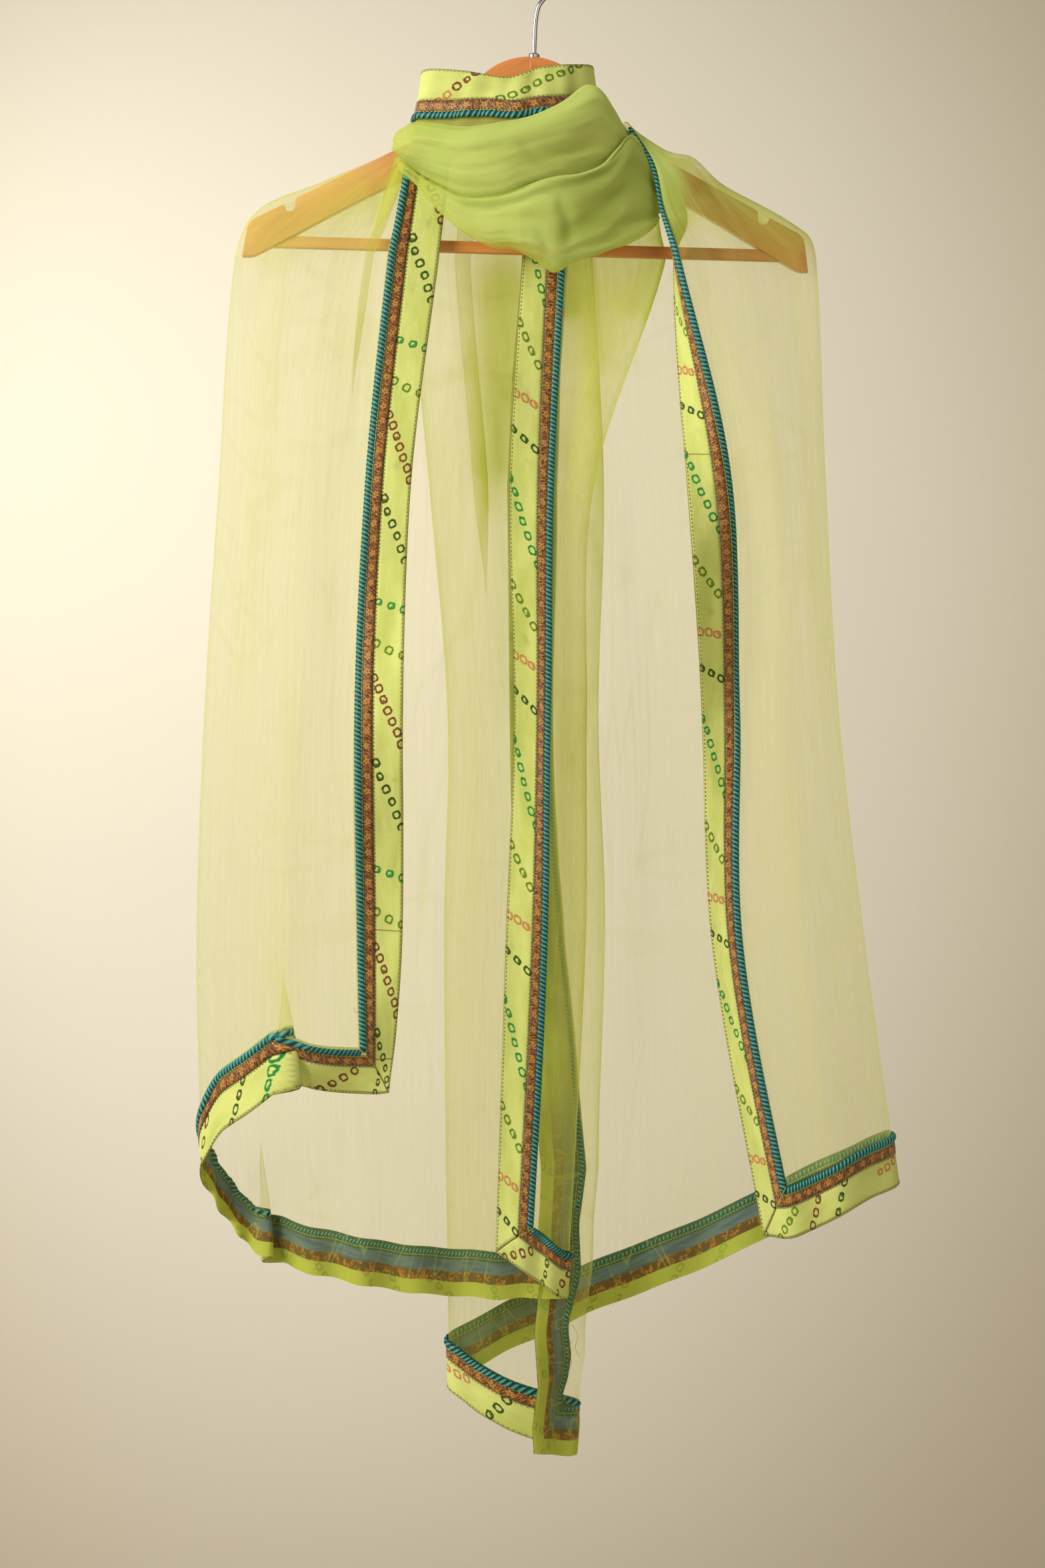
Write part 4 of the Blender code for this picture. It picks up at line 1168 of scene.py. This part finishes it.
collar = {
    "face": 1,
    "flare": 0.16,
    # where it is gathered up: middle, half width and share
    "squeeze": (-27, 24, 0.26),
    "layers": 3,
    # plan x and y, and the heights of its upper and lower edges
    "table": (
        (-78, 14, -100, -147), (-86, 4, -98, -149), (-82, -8, -96.5, -152), (-54, -17, -99.5, -154),
        (-20, -20, -105, -154), (2, -18, -97.5, -151), (22, -13, -94, -146), (36, -4, -92, -138),
        (44, 6, -91, -132), (45, 16, -94, -135),
    ),
    # depth, length and phase
    "waves": ((0.6, 31, 0.4), (0.5, 17, 1.9)),
    "under": (0.2, 39, 0.45, 10),
}
neckBack = {
    "face": -1,
    "flare": 0,
    "squeeze": (0, 1, 0),
    "layers": 4,
    "table": (
        (-81, 14, -100, -142), (-70, 26, -102, -148), (-40, 35, -105, -158), (0, 38, -108, -164),
        (40, 36, -120, -166), (70, 28, -136, -168), (84, 16, -144, -171), (86, 4, -148, -173),
        (80, -6, -151, -174),
    ),
    "waves": ((1, 40, 0), (0.6, 23, 1)),
    "under": (0.2, 39, 0.45, 10),
}


def buildStand(name, node, stand, look):
    table = np.array(stand["table"], float)
    knots = np.arange(len(table), dtype=float)
    t = np.linspace(0, knots[-1], 600)
    runs = runsAlong(curveWeights(knots, t) @ table[:, :2])
    length = float(runs[-1])

    def bandShape(drop, run):
        x, y, top, low = (curveWeights(knots, np.interp(run, runs, t)) @ table).T
        middle, wide, share = stand["squeeze"]
        held = share * bell(x - middle, wide) * np.minimum(drop, 25)
        point = np.stack([x, y, top - drop + held], axis=1)
        away = awayFromNeck(point[:, :2])
        for deep, wave, phase in stand["waves"]:
            point[:, :2] += away * (deep * np.sin(2 * pi * run / wave + phase + drop / 30))[:, None]
        point[:, :2] += away * (0.0012 * (drop - 12) ** 2 + stand["flare"] * drop)[:, None]
        return point, stand["layers"] + 5 * smoothStep(drop, 38, 42)

    def shape(sx, sy):
        run = length * sy
        drop = (curveWeights(knots, np.interp(run, runs, t)) @ (table[:, 2] - table[:, 3])) * sx
        point, layers = bandShape(drop, run)
        return point, (drop * mm, run * mm), layers

    stand["shape"] = bandShape
    rows = int(length / 1.6)
    sheet = organzaPiece(name + "Sheet", 14, rows, shape, stand["face"] < 0)
    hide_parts(node)
    lines = {inset: ((inset, 1), (inset, length - 1)) for inset in (1.2, 24, 33.9)}
    dark = (("inner", (lines[1.2], lines[24])),)
    lime = (("rope", (lines[33.9],)),)
    spans = ((0, length), (0.5, length - 0.5))
    pieces = buildTrim(name, stand, {"near": rows}, {"near": look}, dark, lime, spans, stand["under"])
    for key, kind in (("near", "print"), ("ribbon", "ribbon"), ("piping", "piping")):
        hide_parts(f"{node}_{kind}")
    return sheet, list(pieces.values())


collarSheet, collarPieces = buildStand("collar", "collar_stand", collar, "printCollar")
neckSheet, neckPieces = buildStand("neckBack", "neck_back", neckBack, "printLeft")
print("collar and the turn behind the neck made")


upperSwag = {
    # from what height its left end spreads, and how much
    "lean": (-152, 0.22),
    # plan of its face, heights of crest and edge, how far out from its tuck, and layers of cloth; the high
    # counts towards the right also paint shade there, through the organza's deep colour
    "table": (
        (-98, 20, -150, -164, 6, 5), (-108, 8, -145, -168, 16, 5), (-110, -8, -140.5, -174, 22, 6),
        (-104, -25, -139.5, -183, 25, 8), (-90, -40, -142.5, -193, 26, 11),
        (-60, -53, -147.3, -208, 26, 15), (-28, -58, -144, -211, 27, 17), (0, -57, -139, -201, 26, 19),
        (28, -52, -128, -194, 25, 20), (52, -41, -113, -187, 22, 19), (64, -30, -127, -180, 14, 19),
        (72, -20, -141, -178, 8, 19), (78, -8, -148, -176, 4, 19),
    ),
    # where its upper fold is thinner, how much, and how much thinner it is along its lower edge
    "rim": (0.3, 0.35),
    "sheer": 0,
    # how many, how deep, phase and wander
    "gathers": ((5.3, 0.9, 0.4, 7), (9.1, 0.55, 2, 11), (15.7, 0.3, 4.1, 17)),
    # from crest to edge: how far in from its face and how far down
    "profile": (
        (0.85, 0.22), (0.66, 0.05), (0.5, 0), (0.16, 0.1), (0, 0.32), (0.08, 0.54), (0.34, 0.76),
        (0.66, 0.92), (0.9, 1),
    ),
    # depth, half width, extra layers and the line as x and z
    "creases": (
        (2.5, 9, 1, ((-96, -150), (-60, -166), (-10, -172), (30, -164), (58, -140))),
        (-2, 7, 0.5, ((-110, -156), (-80, -176), (-40, -190), (0, -194))),
        (-2.5, 10, 0.5, ((-70, -160), (-20, -158), (30, -146), (60, -126))),
        (1.5, 4, 0.8, ((-14, -160), (6, -176), (24, -186))),
        (1.5, 3, 1.5, ((-94, -152), (-60, -154), (-30, -153), (0, -146), (30, -134), (54, -119))),
    ),
}
lowerSwag = {
    "lean": (-172, 0),
    # its high layer counts towards the right also paint shade there, through the organza's deep colour
    "table": (
        (-106, -22, -168, -178, 3, 4), (-92, -33, -182, -192, 8, 6), (-74, -41, -193, -214, 12, 8),
        (-56, -47.5, -201.5, -231, 15, 11), (-37, -51, -202.5, -240, 18, 14),
        (-20, -52.5, -199, -241, 20, 15), (-6, -53, -194, -246, 20, 16),
        (8, -52.5, -189, -252.5, 20, 18), (21, -51, -186, -259, 20, 22),
        (38, -47.5, -183.5, -251, 19, 27), (56, -41.5, -175, -245, 16, 28),
        (67, -36, -162, -240, 13, 26), (77, -30, -151, -236, 10, 27), (89, -22, -166, -228, 7, 27),
        (98, -14, -192, -218, 4, 25),
    ),
    "rim": (0.26, 0.45),
    "sheer": 0.7,
    "gathers": ((6.1, 0.9, 1.4, 6), (10.3, 0.55, 0.3, 12), (16.9, 0.3, 2.2, 15)),
    "profile": (
        (0.5, 0.26), (0.36, 0.08), (0.16, 0), (0.03, 0.08), (0, 0.42), (0.05, 0.76), (0.34, 0.96),
        (0.7, 1), (0.95, 0.86),
    ),
    "creases": (
        (2, 2.6, 2, ((-74, -201), (-55, -210), (-37, -211), (-10, -206), (14, -197), (40, -191),
         (60, -181), (74, -164))),
        (2, 5, 1.5, ((18, -204), (26, -218), (30, -238))),
        (-2.5, 9, 0.5, ((-84, -198), (-50, -222), (-10, -236), (20, -246))),
        (2.5, 7, 0.8, ((-66, -214), (-30, -216), (4, -228), (18, -250))),
        (2.5, 10, 0.6, ((84, -182), (60, -206), (30, -232), (22, -254))),
    ),
}


def buildSwag(name, node, swag):
    table = np.array(swag["table"], float)
    profile = np.array(swag["profile"], float)
    knots = np.arange(len(table), dtype=float)
    shares = np.linspace(0, 1, len(profile))

    def shape(drop, run):
        x, y, crest, edge, puff, layers = (curveWeights(knots, run * knots[-1]) @ table).T
        inset, fall = (curveWeights(shares, drop) @ profile).T
        face = np.stack([x, y], axis=1)
        inward = -awayFromNeck(face)
        point = np.column_stack([face + inward * (puff * inset)[:, None], crest + (edge - crest) * fall])
        level, slant = swag["lean"]  # its left end spreads as it falls
        point[:, 0] += slant * (point[:, 2] - level) * smoothStep(-point[:, 0], 84, 112)
        for count, deep, phase, wander in swag["gathers"]:
            wave = np.sin(2 * pi * (count * drop + 0.35 * np.sin(wander * run + phase)) + phase)
            point[:, :2] += inward * (deep * wave * (0.6 + 0.4 * np.sin(wander * 1.7 * run)))[:, None]
            layers = layers * (1 + 0.07 * deep * wave)
        at, thin = swag["rim"]
        layers = layers * (1 - thin * bell(drop - at, 0.075))
        layers = layers * (1 - swag["sheer"] * smoothStep(drop, 0.60, 0.76))
        for deep, half, dense, line in swag["creases"]:
            distance, way = lineDistance(point, line)
            fade = bell(distance, half) * np.minimum(1, 5 * np.minimum(way + 0.02, 1.02 - way))
            point[:, :2] += inward * (deep * fade)[:, None]
            layers = layers + dense * fade
        return point, (drop * 0.11, run * 0.30), layers

    piece = organzaPiece(name, 56, 170, shape)
    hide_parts(node)
    return piece


upperPiece = buildSwag("swagUpper", "swag_upper", upperSwag)
lowerPiece = buildSwag("swagLower", "swag_lower", lowerSwag)
print("swags made")


hanger = {
    "roll": 1.6,  # how far it tips to one side, in degrees
    "thick": 12,
    "humpRadius": 53,
    "humpTop": -86,
    "humpTurn": 74,
    "slope": 0.53,
    "topAtHump": -133.5,
    "start": 52,
    "tip": 218,
    "tipRadius": 12,
    "tipTurn": (64, 4),
    "rim": 1.4,
    "barRim": 1.1,
    "sharp": 32,
    "notchAt": 185,
    "notch": (8.5, 8),  # width and depth
    "flare": ((60, 2.3), (74, 1)),  # where the hump runs out into the arm
    # how deep the arm is below the line of its top, at these distances out
    "under": ((221, 24.6), (211.5, 28.7), (130, 26.5), (70, 28.5), (34, 33.5), (14, 39), (0, 45.5)),
    "barTop": -231,
    "bar": (182.5, 199, 9, 8),  # reach at its top and foot, height and thickness
}


def arc(x, z, radius, first, last, count):
    turns = [radians(first + (last - first) * k / count) for k in range(count + 1)]
    return [(x + radius * cos(turn), z + radius * sin(turn)) for turn in turns]


def armTop(x):
    return hanger["topAtHump"] - (x - hanger["start"]) * hanger["slope"]


def armOutline():
    hump = hanger["humpRadius"]
    outline = arc(0, hanger["humpTop"] - hump, hump, 90, 90 - hanger["humpTurn"], 24)
    outline += [(x, armTop(x) - depth) for x, depth in hanger["flare"]]
    wide, deep = hanger["notch"]
    at = hanger["notchAt"]
    lips = []
    for way in (-1, 1):
        edge = at + way * wide / 2
        lip = edge + way * 1.2
        lips.append([(lip, armTop(lip)), (edge + way * 0.3, armTop(edge) - 0.5), (edge, armTop(edge) - 1.4)])
    outline += lips[0] + arc(at, armTop(at) - deep + wide / 2, wide / 2, 180, 360, 10) + lips[1][::-1]
    tipX = hanger["tip"] - hanger["tipRadius"]
    tipZ = armTop(tipX) - hanger["tipRadius"] - 1.2
    outline += arc(tipX, tipZ, hanger["tipRadius"], *hanger["tipTurn"], 12)
    places, depths = np.array(hanger["under"]).T
    for x in (221, 219.5, 216, 211.5, *np.linspace(200, 0, 26)):
        depth = (curveWeights(-places, np.array([-x])) @ depths)[0]
        outline.append((x, armTop(x) - depth))
    return outline


def woodenPiece(name, node, shape, edges, rim, look):
    settings = {"segments": 3, "profile": 0.5, "affect": "EDGES", "material": -1, "clamp_overlap": True}
    bmesh.ops.bevel(shape, geom=edges, offset=rim * mm, **settings)
    bmesh.ops.rotate(shape, matrix=Matrix.Rotation(radians(hanger["roll"]), 3, "Y"), verts=shape.verts)
    bmesh.ops.recalc_face_normals(shape, faces=shape.faces[:])
    piece = pieceFrom(name, [meshFrom(shape, name)], look)
    piece.data.set_sharp_from_angle(angle=radians(hanger["sharp"]))
    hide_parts(node)


def buildArm(name, node, side, look):
    half = hanger["thick"] / 2
    arm = bmesh.new()
    front = [arm.verts.new((side * max(x, 0.15) * mm, -half * mm, z * mm)) for x, z in armOutline()]
    bmesh.ops.extrude_face_region(arm, geom=[arm.faces.new(front)])
    bmesh.ops.translate(arm, vec=(0, 2 * half * mm, 0), verts=[v for v in arm.verts if v not in front])
    rims = []
    for edge in arm.edges:
        first, second = (v.co for v in edge.verts)
        if abs(first.y - second.y) < 1e-6 and max(abs(first.x), abs(second.x)) > 0.0003:
            rims.append(edge)
    woodenPiece(name, node, arm, rims, hanger["rim"], look)


def buildBar():
    topReach, lowReach, high, deep = hanger["bar"]
    bar = bmesh.new()
    bmesh.ops.create_cube(bar, size=1)
    for v in bar.verts:
        reach, drop = (topReach, 0) if v.co.z > 0 else (lowReach, high)
        v.co = (2 * v.co.x * reach * mm, v.co.y * deep * mm, (hanger["barTop"] - drop) * mm)
    woodenPiece("trouserBar", "trouser_bar", bar, bar.edges[:], hanger["barRim"], "woodBar")


hook = {
    "wire": 1.8,
    "radius": 20,
    "turn": (-32, 180),
    "shank": ((0, -86.5), (0.2, -80), (0.6, -70), (1.6, -55), (4, -45), (9.5, -38)),
}


def buildHook():
    wire, radius = hook["wire"], hook["radius"]
    route = [*hook["shank"], *arc(0, wire - radius, radius, *hook["turn"], 14)]
    route = np.array([*route, (0.6 - radius, wire - radius - 8)])
    steps = runsAlong(route)

    def along(place):
        return curveWeights(steps, place) @ route

    def shape(sx, sy):
        place = steps[-1] * sy
        ahead = unit(along(place + 0.4) - along(place - 0.4))
        turn = 2 * pi * sx
        left = np.clip((steps[-1] - place) / wire, 0.05, 1)
        size = wire * np.sqrt(1 - (1 - left) ** 2)
        x, z = along(place).T
        out = size * np.cos(turn)
        point = np.stack([x + ahead[:, 1] * out, size * np.sin(turn), z - ahead[:, 0] * out], axis=1)
        return point, (sx, place * mm), None

    piece = pieceFrom("hookWire", [gridMesh("hookWire", 20, 190, shape)], "chrome", capped=True)
    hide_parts("hook")


buildArm("armLeft", "hanger_arm_left", -1, "woodLeft")
buildArm("armRight", "hanger_arm_right", 1, "woodRight")
buildBar()
buildHook()
for place in nodes["hook_ferrule"].material_slots:
    place.material = materials["chrome"]
print("hanger made")


bpy.context.view_layer.update()
